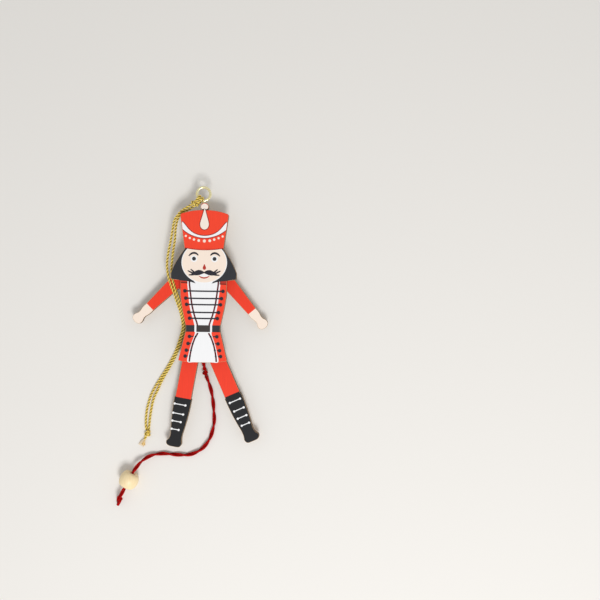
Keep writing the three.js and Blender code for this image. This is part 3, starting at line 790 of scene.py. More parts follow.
class TwistTree(GeometryBench):
    """Lays strands round a line, as a twisted cord does."""

    def __init__(self) -> None:
        """Builds the tree, which stores how far along, round and out from the middle each point is."""
        super().__init__("twisted_cord", "Strand radius", "Strand offset", "Twist length", "Step")
        radius, offset = self.given("Strand radius"), self.given("Strand offset")
        line = self.add("GeometryNodeMeshToCurve", {0: self.given("Geometry")}).outputs[0]
        spacing = {"Curve": line, "Length": self.given("Step")}
        even = self.add("GeometryNodeResampleCurve", spacing, mode="LENGTH").outputs[0]
        sides = {"Resolution": STRAND_SIDES, "Radius": radius}
        ring = self.add("GeometryNodeCurvePrimitiveCircle", sides).outputs[0]
        place = self.add("GeometryNodeInputPosition").outputs[0]
        profile = self.store("FLOAT_VECTOR", "round", ring, self.vector("NORMALIZE", place))
        reach = self.add("GeometryNodeSplineParameter").outputs["Length"]
        measured = self.store("FLOAT", "along", even, reach)
        centred = self.store("FLOAT_VECTOR", "middle", measured, place)
        normal = self.add("GeometryNodeInputNormal").outputs[0]
        aside = self.vector("CROSS_PRODUCT", self.add("GeometryNodeInputTangent").outputs[0], normal)
        wound = self.sum("MULTIPLY", self.sum("DIVIDE", reach, self.given("Twist length")), math.tau)
        joined = self.add("GeometryNodeJoinGeometry")
        for strand in range(STRANDS):
            turn = self.sum("ADD", wound, math.tau * strand / STRANDS)
            over = self.scaled(normal, self.sum("MULTIPLY", self.sum("COSINE", turn), offset))
            beside = self.scaled(aside, self.sum("MULTIPLY", self.sum("SINE", turn), offset))
            shift = {"Geometry": centred, "Offset": self.vector("ADD", over, beside)}
            moved = self.add("GeometryNodeSetPosition", shift).outputs[0]
            sweep = {"Curve": moved, "Profile Curve": profile, "Fill Caps": True}
            self.put(joined, 0, self.add("GeometryNodeCurveToMesh", sweep).outputs[0])
        apart = self.vector("DISTANCE", place, self.named("middle", "FLOAT_VECTOR"), output="Value")
        crest = self.sum("DIVIDE", apart, self.sum("ADD", radius, offset))
        crested = self.store("FLOAT", "crest", joined.outputs[0], crest)
        cleared = self.add("GeometryNodeRemoveAttribute", {"Geometry": crested, "Name": "middle"})
        soft = self.add("GeometryNodeSetShadeSmooth", {"Geometry": cleared.outputs[0]})
        self.close(soft.outputs[0])


class DotTree(GeometryBench):
    """Prints a round dot on each point."""

    def __init__(self) -> None:
        """Builds the tree, which takes each dot's radius from its point."""
        super().__init__("printed_dots", "Thickness")
        sizes = {"Vertices": DOT_SIDES, "Radius": 1.0, "Depth": self.given("Thickness")}
        disc = self.add("GeometryNodeMeshCylinder", sizes).outputs[0]
        radius = self.named("size", "FLOAT")
        scale = self.add("ShaderNodeCombineXYZ", {0: radius, 1: radius, 2: 1.0}).outputs[0]
        sockets = {"Points": self.given("Geometry"), "Instance": disc, "Scale": scale}
        self.close(self.add("GeometryNodeInstanceOnPoints", sockets).outputs[0])


@dataclass
class Board:
    """A cut board that copies a node of the part, with rounded and burnt edges and with its print."""

    node: str
    body: Body
    slot: Slot
    straight: float = 0.5
    profile: float = 0.6
    rounding_steps: int = 2
    shape: Shape = field(init=False)
    face: float = field(init=False)

    def __post_init__(self) -> None:
        """Copies the node's mesh, rounds the edges of its two faces and adds it as a piece."""
        shape = self.shape = bmesh.new()
        shape.from_mesh(bpy.data.objects[self.node].data)
        bmesh.ops.remove_doubles(shape, verts=shape.verts, dist=MICRON)
        limit = math.radians(self.straight)
        bmesh.ops.dissolve_limit(shape, angle_limit=limit, verts=shape.verts, edges=shape.edges)
        pairs = [edge for edge in shape.edges if len(edge.link_faces) == 2]
        rims = [edge for edge in pairs if sum(self.is_broad(f, UPRIGHT) for f in edge.link_faces) == 1]
        soft = {"offset": BOARD_ROUNDING * MM, "segments": self.rounding_steps, "profile": self.profile}
        bmesh.ops.bevel(shape, geom=rims, affect="EDGES", **soft)
        self.face = max(vertex.co.z for vertex in shape.verts)
        for face in shape.faces:
            face.material_index = 0 if self.is_broad(face) else 1
        piece = as_piece(self.node + "_board", shape.copy(), PLY, EDGE)
        settle(piece, self.body, self.slot, self.node)

    @staticmethod
    def is_broad(face: bmesh.types.BMFace, least: float = FLAT_FACE) -> bool:
        """Says whether a face is part of the board's front or back, by how far up or down it looks."""
        return abs(face.normal.z) > least

    def keep(self, name: str, shape: Shape, ink: Ink) -> None:
        """Adds a printed shape as a piece that moves with the board."""
        bmesh.ops.recalc_face_normals(shape, faces=shape.faces)
        settle(as_piece(name, shape, ink), self.body, self.slot)

    def print_area(self, name: str, level: int, ink: Ink, *cuts: tuple[Vector, Vector]) -> None:
        """Prints the part of the board's face that lies ahead of some cutting planes.

        Args:
            name: the piece's name.
            level: how many layers of ink it stands up.
            ink: its ink.
            cuts: a point and a direction for each plane: what lies that way is kept.
        """
        layer = self.shape.copy()
        low = self.face - FACE_SLACK
        rest = [f for f in layer.faces if not self.is_broad(f) or f.calc_center_median().z < low]
        bmesh.ops.delete(layer, geom=rest, context="FACES")
        for spot, way in cuts:
            everything = [*layer.verts, *layer.edges, *layer.faces]
            bmesh.ops.bisect_plane(layer, geom=everything, plane_co=spot, plane_no=way, clear_inner=True)
        raised = bmesh.ops.extrude_face_region(layer, geom=list(layer.faces))
        tops = [v for v in raised["geom"] if isinstance(v, bmesh.types.BMVert)]
        bmesh.ops.translate(layer, verts=tops, vec=(0, 0, level * INK_STEP * MM))
        for face in layer.faces:
            face.material_index = 0
        self.keep(name, layer, ink)

    def print_shapes(self, name: str, level: int, ink: Ink, *outlines: Points) -> None:
        """Prints closed outlines as one piece.

        Args:
            name: the piece's name.
            level: how many layers of ink it stands up.
            ink: its ink.
            outlines: the outlines, as places in the frame.
        """
        shape = bmesh.new()
        top = self.face + level * INK_STEP * MM
        for outline in outlines:
            below = [shape.verts.new((x, y, self.face)) for x, y in outline]
            above = [shape.verts.new((x, y, top)) for x, y in outline]
            shape.faces.new(above)
            shape.faces.new(below[::-1])
            for i, vertex in enumerate(above):
                shape.faces.new((above[i - 1], below[i - 1], below[i], vertex))
        self.keep(name, shape, ink)

    def print_dots(
        self, name: str, level: int, ink: Ink, spots: Sequence[Flat], radii: float | Sequence[float]
    ) -> None:
        """Prints round dots as one piece.

        Args:
            name: the piece's name.
            level: how many layers of ink they stand up.
            ink: their ink.
            spots: their middles, as places in the frame.
            radii: their radii in millimetres, or one for all.
        """
        high = level * INK_STEP * MM
        sizes = np.broadcast_to(np.multiply(radii, MM), len(spots)).tolist()
        seed = bpy.data.meshes.new(name + "_points")
        seed.from_pydata([(x, y, self.face + high / 2) for x, y in spots], [], [])
        seed.attributes.new("size", "FLOAT", "POINT").data.foreach_set("value", sizes)
        settle(DotTree.shared().grow(name, seed, ink, {"Thickness": high}), self.body, self.slot)


@dataclass(frozen=True)
class CordKind:
    """How a cord of two strands is twisted, in millimetres, and what it moves with."""

    diameter: float
    twist: float
    fullness: float
    yarn: Yarn = RED_YARN
    body: Body = Body.PULL
    slot: Slot = Slot.RED
    steps_to_twist: int = 10
    steps_to_diameter: int = 3
    knot_points: int = 64
    least_rise: float = 0.05

    def lay(self, name: str, node: str, points: np.ndarray, closed: bool = False) -> Piece:
        """Lays the cord along a line.

        Args:
            name: the piece's name.
            node: the node that it stands for.
            points: the line, in metres.
            closed: whether the line comes back to its start.

        Returns:
            The cord's piece.
        """
        last = len(points) - 1
        edges = [(i, i + 1) for i in range(last)]
        twist = self.twist
        if closed:
            edges.append((last, 0))
            around = (run_length(points) + float(np.linalg.norm(points[0] - points[-1]))) / MM
            twist = around / max(1, round(around / self.twist))
        seed = bpy.data.meshes.new(name + "_line")
        seed.from_pydata([tuple(p) for p in points], edges, [])
        radius = self.diameter / 2
        strand = radius / STRANDS * self.fullness
        step = min(self.twist / self.steps_to_twist, self.diameter / self.steps_to_diameter)
        sizes = {
            "Strand radius": strand * MM,
            "Strand offset": (radius - strand) * MM,
            "Twist length": twist * MM,
            "Step": step * MM,
        }
        piece = TwistTree.shared().grow(name, seed, self.yarn, sizes)
        return settle(piece, self.body, self.slot, node)

    def tie(self, name: str, node: str, middle: Vector, across: float, high: float, turn: float) -> Piece:
        """Ties a knot of this cord.

        Args:
            name: the piece's name.
            node: the node that it stands for.
            middle: the knot's middle, in metres.
            across: how wide it is, in millimetres.
            high: how high it is, in millimetres.
            turn: how far it is turned about its upright line, in degrees.

        Returns:
            The knot's piece.
        """
        turns = np.linspace(0, math.tau, self.knot_points, endpoint=False)
        # The trefoil below reaches three of its units to each side.
        wide = (across - self.diameter) / 6
        rise = max(self.least_rise, (high - self.diameter) / 2)
        line = np.column_stack([
            wide * (np.sin(turns) + 2 * np.sin(2 * turns)),
            wide * (np.cos(turns) - 2 * np.cos(2 * turns)),
            rise * -np.sin(3 * turns),
        ])
        cosine, sine = math.cos(math.radians(turn)), math.sin(math.radians(turn))
        spin = np.array([[cosine, -sine, 0], [sine, cosine, 0], [0, 0, 1]])
        return self.lay(name, node, line @ spin.T * MM + np.array(middle), closed=True)

    def declare(self, piece: Piece, line: np.ndarray, others: list[Piece]) -> None:
        """Writes the length of a free cord of this kind to the log.

        Args:
            piece: the cord's piece.
            line: the line that it follows, in metres.
            others: the pieces on it; not used.
        """
        run_length(line)
        LOG.info("%s: %.1f mm long", piece.name, run_length(line) / MM)


def tube(points: np.ndarray, radii: Sequence[float], sides: int) -> Shape:
    """Sweeps a round bar along a line, with closed ends.

    Args:
        points: the line, in metres.
        radii: the bar's radius at each point, in metres.
        sides: the bar's sides.

    Returns:
        The bar's shape.
    """
    shape = bmesh.new()
    ahead = unit_rows(np.gradient(points, axis=0))
    aside = np.cross(ahead[0], (0.0, 0.0, 1.0) if abs(ahead[0][2]) < UPRIGHT else (1.0, 0.0, 0.0))
    turns = [math.tau * i / sides for i in range(sides)]
    rings = []
    for spot, way, radius in zip(points, ahead, radii):
        aside = aside - way * aside.dot(way)
        aside /= np.linalg.norm(aside)
        over = np.cross(way, aside)
        ring = [spot + radius * (math.cos(t) * aside + math.sin(t) * over) for t in turns]
        rings.append([shape.verts.new(place) for place in ring])
    for near, far in zip(rings, rings[1:]):
        for i in range(sides):
            shape.faces.new((near[i - 1], near[i], far[i], far[i - 1]))
    shape.faces.new(rings[0])
    shape.faces.new(rings[-1])
    bmesh.ops.recalc_face_normals(shape, faces=shape.faces)
    return shape


def turned(profile: Sequence[Flat], sides: int = 56) -> Shape:
    """Turns a closed profile about Z.

    Args:
        profile: radius and height pairs in millimetres. A radius of nought is a pole.
        sides: the sides of the turned shape.

    Returns:
        The turned shape.
    """
    shape = bmesh.new()
    line = [shape.verts.new((radius * MM, 0, height * MM)) for radius, height in profile]
    edges = [shape.edges.new(pair) for pair in zip(line, line[1:])]
    if profile[0][0] > 0:
        edges.append(shape.edges.new((line[-1], line[0])))
    whole = {"cent": (0, 0, 0), "axis": (0, 0, 1), "angle": math.tau, "use_merge": True}
    bmesh.ops.spin(shape, geom=[*line, *edges], steps=sides, **whole)
    bmesh.ops.remove_doubles(shape, verts=shape.verts, dist=MICRON / 10)
    bmesh.ops.recalc_face_normals(shape, faces=shape.faces)
    return shape


@dataclass
class Stage:
    """The surface under the toy, the lamp, the sky and the camera straight above it, in metres."""

    camera_spot: Spot = (48.32, 25.69, 450.0)
    camera_roll: float = 0.81
    camera_near: float = 0.01
    lens: float = 52.76
    sensor: float = 36.0
    ground_reach: float = 4.0
    lamp_spot: Spot = (0.18, -0.5, 0.78)
    lamp_size: float = 0.3
    lamp_power: float = 5.1
    sky: float = 0.52

    def set_camera(self, figure: Figure) -> None:
        """Puts the camera over the figure's right side, looking down.

        Args:
            figure: the figure, from which the camera's place is measured in millimetres.
        """
        data = bpy.data.cameras.new("camera")
        data.lens = self.lens
        data.sensor_width = self.sensor
        data.clip_start = self.camera_near
        camera = add_object("camera", data)
        camera.location = figure.spots([self.camera_spot])[0]
        camera.rotation_euler = (0, 0, math.radians(self.camera_roll))
        bpy.context.scene.camera = camera

    def light(self) -> None:
        """Lights the scene with a broad lamp from the boots' side and a plain sky."""
        data = bpy.data.lights.new("window_lamp", "AREA")
        data.energy = self.lamp_power
        data.size = self.lamp_size
        lamp = add_object("window_lamp", data)
        lamp.location = self.lamp_spot
        lamp.rotation_euler = (-lamp.location).to_track_quat("-Z", "Y").to_euler()
        world = bpy.data.worlds.new("plain_sky")
        world.use_nodes = True
        background = world.node_tree.nodes["Background"].inputs
        background["Color"].default_value = (1, 1, 1, 1)
        background["Strength"].default_value = self.sky
        bpy.context.scene.world = world
        bpy.context.scene.view_settings.view_transform = "Standard"

    def lay_ground(self) -> None:
        """Lays the pale surface."""
        shape = bmesh.new()
        bmesh.ops.create_grid(shape, x_segments=1, y_segments=1, size=self.ground_reach / 2)
        as_piece("ground", shape, GROUND)


@dataclass
class PullCord:
    """The red cord that works the limbs, its knots and its bead, in millimetres.

    A knot's size is how wide and how high it is, and its turn in degrees.
    """

    figure: Figure
    cord: CordKind = CordKind(2.0, 15.0, 1.12)
    draw: CordKind = CordKind(1.9, 7.0, 1.1)
    gather_cord: CordKind = CordKind(1.1, 3.0, 1.15)
    end_cord: CordKind = CordKind(1.5, 6.0, 1.15)
    cut_end: CordKind = CordKind(2.7, 18.0, 1.15)
    step: float = 0.4
    gather: Spot = (0.6, -12.2, 2.2)
    gather_size: Spot = (3.2, 2.6, 20.0)
    end: Spot = (-41.8, -76.1, 4.1)
    end_size: Spot = (3.5, 3.0, 75.0)
    bead: Spot = (-37.0, -66.6, 4.8)
    bead_way: Spot = (-0.456, -0.89, 0.0)
    bead_radius: float = 4.8
    bead_half: float = 3.95
    bead_flat: float = 2.6
    bead_bore: float = 1.3
    bead_soft: float = 0.45
    bead_rim_points: int = 20
    bead_mouth_points: int = 5
    bead_sides: int = 72
    bead_stations: tuple[float, ...] = (-5.37, -3.95, 0.0, 3.95, 7.9)
    draw_route: Route = (
        (0.0, -3.95, 6.5), (0.0, -5.2, 6.5), (0.1, -7.6, 5.6), (0.2, -9.2, 4.2), (0.4, -10.6, 3.1),
    )
    first_route: Route = (
        (1.1, -13.9, 1.6), (1.7, -15.6, 1.1), (2.5, -17.6, 1.05), (3.8, -21.9, 1.05), (4.6, -26.0, 1.05),
        (5.1, -31.1, 1.05), (5.4, -34.7, 1.05), (5.3, -38.2, 1.05), (4.6, -41.8, 1.05), (3.4, -45.4, 1.05),
        (1.6, -48.5, 1.05), (-1.1, -51.3, 1.05), (-4.4, -53.2, 1.05), (-8.3, -54.2, 1.05),
        (-12.8, -54.2, 1.05), (-16.9, -53.9, 1.05), (-21.0, -53.7, 1.05), (-25.1, -54.3, 1.2),
        (-28.4, -55.6, 2.0), (-31.3, -57.7, 3.4), (-33.2, -60.0, 4.6),
    )
    last_route: Route = ((-41.1, -74.5, 4.7), (-41.8, -76.1, 4.0))
    tail_route: Route = (
        (-41.9, -76.6, 3.8), (-42.3, -77.7, 3.1), (-42.7, -78.6, 2.2), (-43.0, -79.6, 1.5),
    )

    def lay_cord(self) -> None:
        """Lays the cord from the gather knot through the bead to its tail."""
        way = np.array(self.bead_way) / np.linalg.norm(self.bead_way)
        through = [tuple(np.array(self.bead) + way * station) for station in self.bead_stations]
        line = self.figure.run([*self.first_route, *through, *self.last_route], self.step)
        piece = self.cord.lay("red_pull_cord", "pull_cord", line)
        knots = self.tie_knots()
        self.cord.declare(piece, line, [*knots, self.turn_bead()])

    def tie_knots(self) -> list[Piece]:
        """Ties both knots, lays the cut end and twists the cord that runs up behind the panel.

        Returns:
            The knots and the cut end.
        """
        gather, end = map(Vector, self.figure.spots([self.gather, self.end]))
        draw, tail = (self.figure.run(route, FINE_STEP) for route in (self.draw_route, self.tail_route))
        pieces = [
            self.gather_cord.tie("gather_knot_loops", "gather_knot", gather, *self.gather_size),
            self.end_cord.tie("end_knot_loops", "end_knot", end, *self.end_size),
            self.cut_end.lay("red_cut_end", "pull_tail", tail),
        ]
        self.draw.lay("draw_cord_twist", "draw_cord", draw)
        return pieces

    def turn_bead(self) -> Piece:
        """Turns the bead, with a softened edge round its bore.

        Returns:
            The bead's piece.
        """
        half, soft, bore = self.bead_half, self.bead_soft, self.bead_bore
        swell = self.bead_radius - self.bead_flat
        turns = np.linspace(-math.pi / 2, math.pi / 2, self.bead_rim_points)
        rim = [(self.bead_flat + swell * math.cos(t), half * math.sin(t)) for t in turns]
        bends = np.linspace(math.pi / 2, 0, self.bead_mouth_points)
        mouth = [(bore + soft * (1 - math.cos(t)), half - soft * (1 - math.sin(t))) for t in bends]
        shape = turned([*((r, -h) for r, h in reversed(mouth)), *rim, *mouth], self.bead_sides)
        turn = Vector((0, 0, 1)).rotation_difference(Vector(self.bead_way)).to_matrix().to_4x4()
        (spot,) = self.figure.spots([self.bead])
        bmesh.ops.transform(shape, matrix=Matrix.Translation(spot) @ turn, verts=shape.verts)
        return settle(as_piece("wooden_bead", shape, BEAD, soft=True), Body.BEAD, Slot.BEAD, "pull_bead")


@dataclass
class HangingCord:
    """The doubled gold cord that the toy hangs by, in millimetres.

    The hitch's points are how far out from the ring's wire, along it and above it they lie. The numbers of
    the fray are the spans that chance picks from for each of its threads, at root, middle and tip.
    """

    figure: Figure
    cord: CordKind = CordKind(1.35, 3.4, 1.04, GOLD_YARN, Body.TORSO, Slot.GOLD)
    knot_cord: CordKind = CordKind(1.25, 3.2, 1.04, GOLD_YARN, Body.TORSO, Slot.GOLD)
    step: float = 0.3
    knot: Spot = (-28.4, -43.4, 1.3)
    knot_size: Spot = (3.8, 2.5, 40.0)
    left_route: Route = (
        (-7.75, 72.31, 8.1), (-9.9, 71.0, 8.0), (-12.0, 69.6, 7.8), (-13.75, 67.55, 7.65),
        (-15.0, 65.9, 7.3), (-15.7, 64.0, 7.1), (-16.25, 61.1, 6.9), (-16.9, 57.0, 6.7), (-17.5, 53.5, 6.6),
        (-18.2, 50.0, 6.5), (-18.8, 45.9, 6.5), (-19.0, 41.9, 6.5), (-18.7, 38.9, 6.5), (-18.2, 36.4, 6.5),
        (-17.4, 33.8, 6.5), (-16.3, 30.8, 6.5), (-15.0, 27.6, 6.5), (-14.2, 24.8, 6.1), (-13.3, 21.8, 4.5),
        (-12.4, 18.2, 2.0), (-11.8, 15.1, 0.9), (-11.4, 11.6, 0.65), (-11.6, 9.2, 0.65), (-12.2, 6.9, 0.65),
        (-13.2, 3.4, 0.65), (-14.2, 0.3, 0.65), (-15.4, -2.8, 0.65), (-16.9, -5.9, 0.65),
        (-18.6, -9.0, 0.65), (-20.4, -12.1, 0.65), (-22.3, -15.2, 0.65), (-24.2, -18.3, 0.65),
        (-25.8, -21.3, 0.65), (-27.2, -24.4, 0.65), (-28.3, -28.0, 0.65), (-29.1, -31.6, 0.65),
        (-29.5, -35.7, 0.65), (-29.5, -39.3, 0.8), (-29.1, -41.7, 1.1),
    )
    right_route: Route = (
        (-6.5, 71.45, 8.0), (-8.5, 70.4, 7.2), (-12.0, 68.9, 6.3), (-13.3, 66.9, 6.4), (-14.35, 64.1, 6.5),
        (-14.95, 59.6, 6.6), (-15.2, 55.0, 6.6), (-15.8, 51.0, 6.5), (-16.2, 47.5, 6.5), (-16.5, 43.9, 6.5),
        (-16.7, 41.4, 6.5), (-16.7, 38.9, 6.5), (-16.4, 36.2, 6.5), (-15.7, 33.8, 6.5), (-14.7, 30.3, 6.5),
        (-13.4, 27.3, 6.5), (-12.6, 24.6, 6.3), (-12.0, 21.8, 5.3), (-11.5, 18.2, 3.8), (-10.9, 15.1, 2.3),
        (-10.5, 11.6, 1.55), (-10.6, 9.2, 1.5), (-11.2, 6.9, 1.5), (-12.15, 3.4, 1.5), (-13.15, 0.3, 1.5),
        (-14.3, -2.8, 1.5), (-15.75, -5.9, 1.5), (-17.4, -9.0, 1.5), (-19.15, -12.1, 1.5),
        (-20.9, -15.2, 1.3), (-22.4, -18.2, 0.9), (-23.7, -21.3, 0.65), (-25.2, -24.4, 0.65),
        (-26.3, -28.0, 0.65), (-26.9, -31.6, 0.65), (-27.5, -35.7, 0.65), (-27.8, -39.3, 0.8),
        (-28.0, -41.6, 1.2),
    )
    tail_route: Route = ((-28.8, -44.3, 1.2), (-29.2, -44.9, 1.0), (-30.1, -46.5, 0.75))
    hitch_angle: float = 232.0
    hitch_sway: float = 0.04
    hitch_half: Route = (
        (5.2, 0.75, -0.7), (3.9, 0.7, -0.1), (2.2, 0.66, 0.75), (0.9, 0.66, 1.4), (0.1, 0.68, 1.55),
        (-0.95, 0.75, 1.15), (-1.55, 0.85, 0.1), (-1.1, 0.95, -1.15), (0.0, 1.0, -1.6), (1.3, 1.0, -1.5),
        (2.4, 1.1, -1.05), (3.1, 1.5, -0.25), (3.35, 1.45, 0.75),
    )
    hitch_bight: Spot = (3.4, 0.0, 1.4)
    fray_ends: int = 34
    fray_seed: int = 12
    fray_ahead: Spot = (-0.42, -0.9, 0.0)
    fray_aside: Spot = (0.9, -0.42, 0.0)
    fray_reach: Flat = (2.0, 3.9)
    fray_fan: Spot = (0.45, 0.55, 1.2)
    fray_bow: float = 0.3
    root_rise: Flat = (-0.3, 0.3)
    middle_rise: Flat = (-0.2, 0.35)
    middle_floor: float = 0.25
    tip_height: Flat = (0.15, 0.7)
    thread_radii: Flat = (0.14, 0.1)
    thread_sides: int = 6
    pale_fan: float = -0.2
    pale_every: int = 6

    def lay_cords(self) -> None:
        """Lays both strands from the hitch to the knot."""
        hitch = self.cord.lay("gold_hitch", "hanging_hitch", self.hitch_line())
        (spot,) = self.figure.spots([self.knot])
        knot = self.knot_cord.tie("gold_knot_loops", "hanging_knot", Vector(spot), *self.knot_size)
        tail = self.fray_tail()
        runs = (("left", self.left_route, [hitch]), ("right", self.right_route, [knot, *tail]))
        for side, route, others in runs:
            line = self.figure.run(route, self.step)
            piece = self.cord.lay(f"gold_strand_{side}", f"hanging_cord_{side}", line)
            self.cord.declare(piece, line, others)

    def hitch_line(self) -> np.ndarray:
        """Draws the hitch round the ring's wire.

        Returns:
            The hitch's line, in metres.
        """
        turn = math.radians(self.hitch_angle)
        out = np.array((math.cos(turn), math.sin(turn), 0.0))
        along = np.array((-math.sin(turn), math.cos(turn), 0.0))
        up = np.array((0.0, 0.0, 1.0))
        wire = np.array(RING_MIDDLE) + out * RING_RADIUS
        half = self.hitch_half
        route = []
        for r, a, z in (*half, self.hitch_bight, *((r, -a, z) for r, a, z in reversed(half))):
            sway = self.hitch_sway * max(r, 0.0) ** 2
            route.append(tuple(wire + out * r + along * (a - sway) + up * z))
        return self.figure.run(route, FINE_STEP)

    def fray_tail(self) -> list[Piece]:
        """Lays the short tail past the knot, with its loose ends of thread.

        Returns:
            The tail and its fray.
        """
        tail = self.cord.lay("gold_tail", "hanging_tail", self.figure.run(self.tail_route, FINE_STEP))
        chance = np.random.default_rng(self.fray_seed)
        gold, pale = bmesh.new(), bmesh.new()
        for number in range(self.fray_ends):
            fan = chance.uniform(-1, 1)
            run = self.thread_line(fan, chance)
            thread = tube(run, np.linspace(*self.thread_radii, len(run)) * MM, self.thread_sides)
            mesh = bpy.data.meshes.new("thread")
            thread.to_mesh(mesh)
            thread.free()
            (pale if fan < self.pale_fan or number % self.pale_every == 0 else gold).from_mesh(mesh)
            bpy.data.meshes.remove(mesh)
        loose = as_piece("gold_fray", gold, GOLD_FIBRE, soft=True)
        core = as_piece("pale_fray", pale, PALE_FIBRE, soft=True)
        return [tail, *(settle(piece, Body.TORSO, Slot.GOLD) for piece in (loose, core))]

    def thread_line(self, fan: float, chance: np.random.Generator) -> np.ndarray:
        """Draws one loose thread of the fray.

        Args:
            fan: the side of the tail that it lies on, from -1 to 1.
            chance: what picks its other sizes.

        Returns:
            The thread's line, in metres.
        """
        ahead, aside = np.array(self.fray_ahead), np.array(self.fray_aside)
        near, half_way, far = self.fray_fan
        reach = chance.uniform(*self.fray_reach)
        bow = chance.uniform(-0.5, 0.5) * self.fray_bow
        rise = np.array((0, 0, chance.uniform(*self.root_rise)))
        root = np.array(self.tail_route[-1]) + aside * fan * near + rise
        middle = root + ahead * reach / 2 + aside * (fan * half_way + bow)
        tip = root + ahead * reach + aside * (fan * far + bow)
        middle[2] = max(self.middle_floor, middle[2] + chance.uniform(*self.middle_rise))
        tip[2] = chance.uniform(*self.tip_height)
        return self.figure.run([tuple(root), tuple(middle), tuple(tip)], FINE_STEP)


@dataclass
class ScrewEye:
    """The brass screw eye, bent from one wire, in millimetres."""

    figure: Figure
    wire: float = 1.3
    wire_sides: int = 20
    tip_y: float = 65.6
    point: float = 1.5
    blunt: float = 0.06
    thread_pitch: float = 0.9
    thread_depth: float = 0.1
    plain_neck: float = 1.2
    neck_bend: float = 0.35
    neck_turns: int = 2
    ring_start: float = -90.0
    closing_gap: float = 16.0
    shank_points: int = 60
    ring_points: int = 72

    def build(self) -> None:
        """Bends the wire: up the shank, round the ring and back to the shank."""
        x, y, z = RING_MIDDLE
        end = self.ring_start + 360.0 - self.closing_gap
        turns = np.radians(np.linspace(self.ring_start, end, self.ring_points))[self.neck_turns:]
        loop = [(x + RING_RADIUS * math.cos(t), y + RING_RADIUS * math.sin(t), z) for t in turns]
        heights = np.linspace(self.tip_y, y - RING_RADIUS - self.neck_bend, self.shank_points)
        line = np.array(self.figure.spots([*((x, height, z) for height in heights), *loop]))
        radii = [self.shank_radius(height) * MM for height in heights] + [self.wire / 2 * MM] * len(loop)
        piece = as_piece("brass_screw_eye", tube(line, radii, self.wire_sides), BRASS, soft=True)
        settle(piece, Body.TORSO, Slot.BRASS, "screw_eye")

    def shank_radius(self, height: float) -> float:
        """Gives the shank's radius, with its point and its thread.

        Args:
            height: the place along the shank.

        Returns:
            The radius there.
        """
        up = height - self.tip_y
        sharp = min(1.0, up / self.point + self.blunt)
        if height >= RING_MIDDLE[1] - RING_RADIUS - self.plain_neck:
            return self.wire / 2 * sharp
        wave = math.cos(math.tau * up / self.thread_pitch)
        return self.wire / 2 * sharp * (1 - self.thread_depth + self.thread_depth * wave)


@dataclass
class Pivots:
    """The pegs that the limbs turn on and their washers, in millimetres."""

    names: tuple[str, ...] = ("left_shoulder", "right_shoulder", "left_hip", "right_hip")
    head: float = 1.7
    head_height: float = 2.4
    chamfer: float = 0.3
    low_soft: float = 0.09
    top_soft: float = 0.12
    shank: float = 0.9
    washer_bore: float = 1.05
    washer: float = 1.9
    washer_soft: float = 0.12

    def build(self) -> None:
        """Turns a peg and a washer for each pivot."""
        for name in self.names:
            x, y, _ = middle_of(name + "_peg")
            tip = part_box(name + "_peg")[1].z / MM
            under, over = (corner.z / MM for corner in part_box(name + "_washer"))
            parts = (
                ("peg", "turned_peg", self.peg_profile(tip), PEG, Slot.PEG),
                ("washer", "washer_ring", self.washer_profile(under, over), WASHER, Slot.WASHER),
            )
            for node, piece, profile, finish, slot in parts:
                shape = turned(profile)
                bmesh.ops.translate(shape, verts=shape.verts, vec=(x, y, 0))
                settle(as_piece(f"{name}_{piece}", shape, finish), Body.TORSO, slot, f"{name}_{node}")

    def peg_profile(self, tip: float) -> list[Flat]:
        """Gives a peg's profile from the floor to the height of its tip."""
        head, height, edge, shank = self.head, self.head_height, self.chamfer, self.shank
        return [
            (0, 0), (head - edge, 0), (head - self.low_soft, self.low_soft), (head, edge),
            (head, height - self.top_soft), (head - self.top_soft, height), (shank, height),
            (shank, tip - edge), (shank - edge, tip), (0, tip),
        ]

    def washer_profile(self, under: float, over: float) -> list[Flat]:
        """Gives a washer's profile between the heights of its two faces.

        Args:
            under: how high its lower face is.
            over: how high its upper face is.

        Returns:
            The profile's radii and heights.
        """
        bore, out, rim = self.washer_bore, self.washer, self.washer_soft
        lower = [(bore, under), (out - rim, under), (out, under + rim)]
        return [*lower, (out, over - rim), (out - rim, over), (bore, over)]


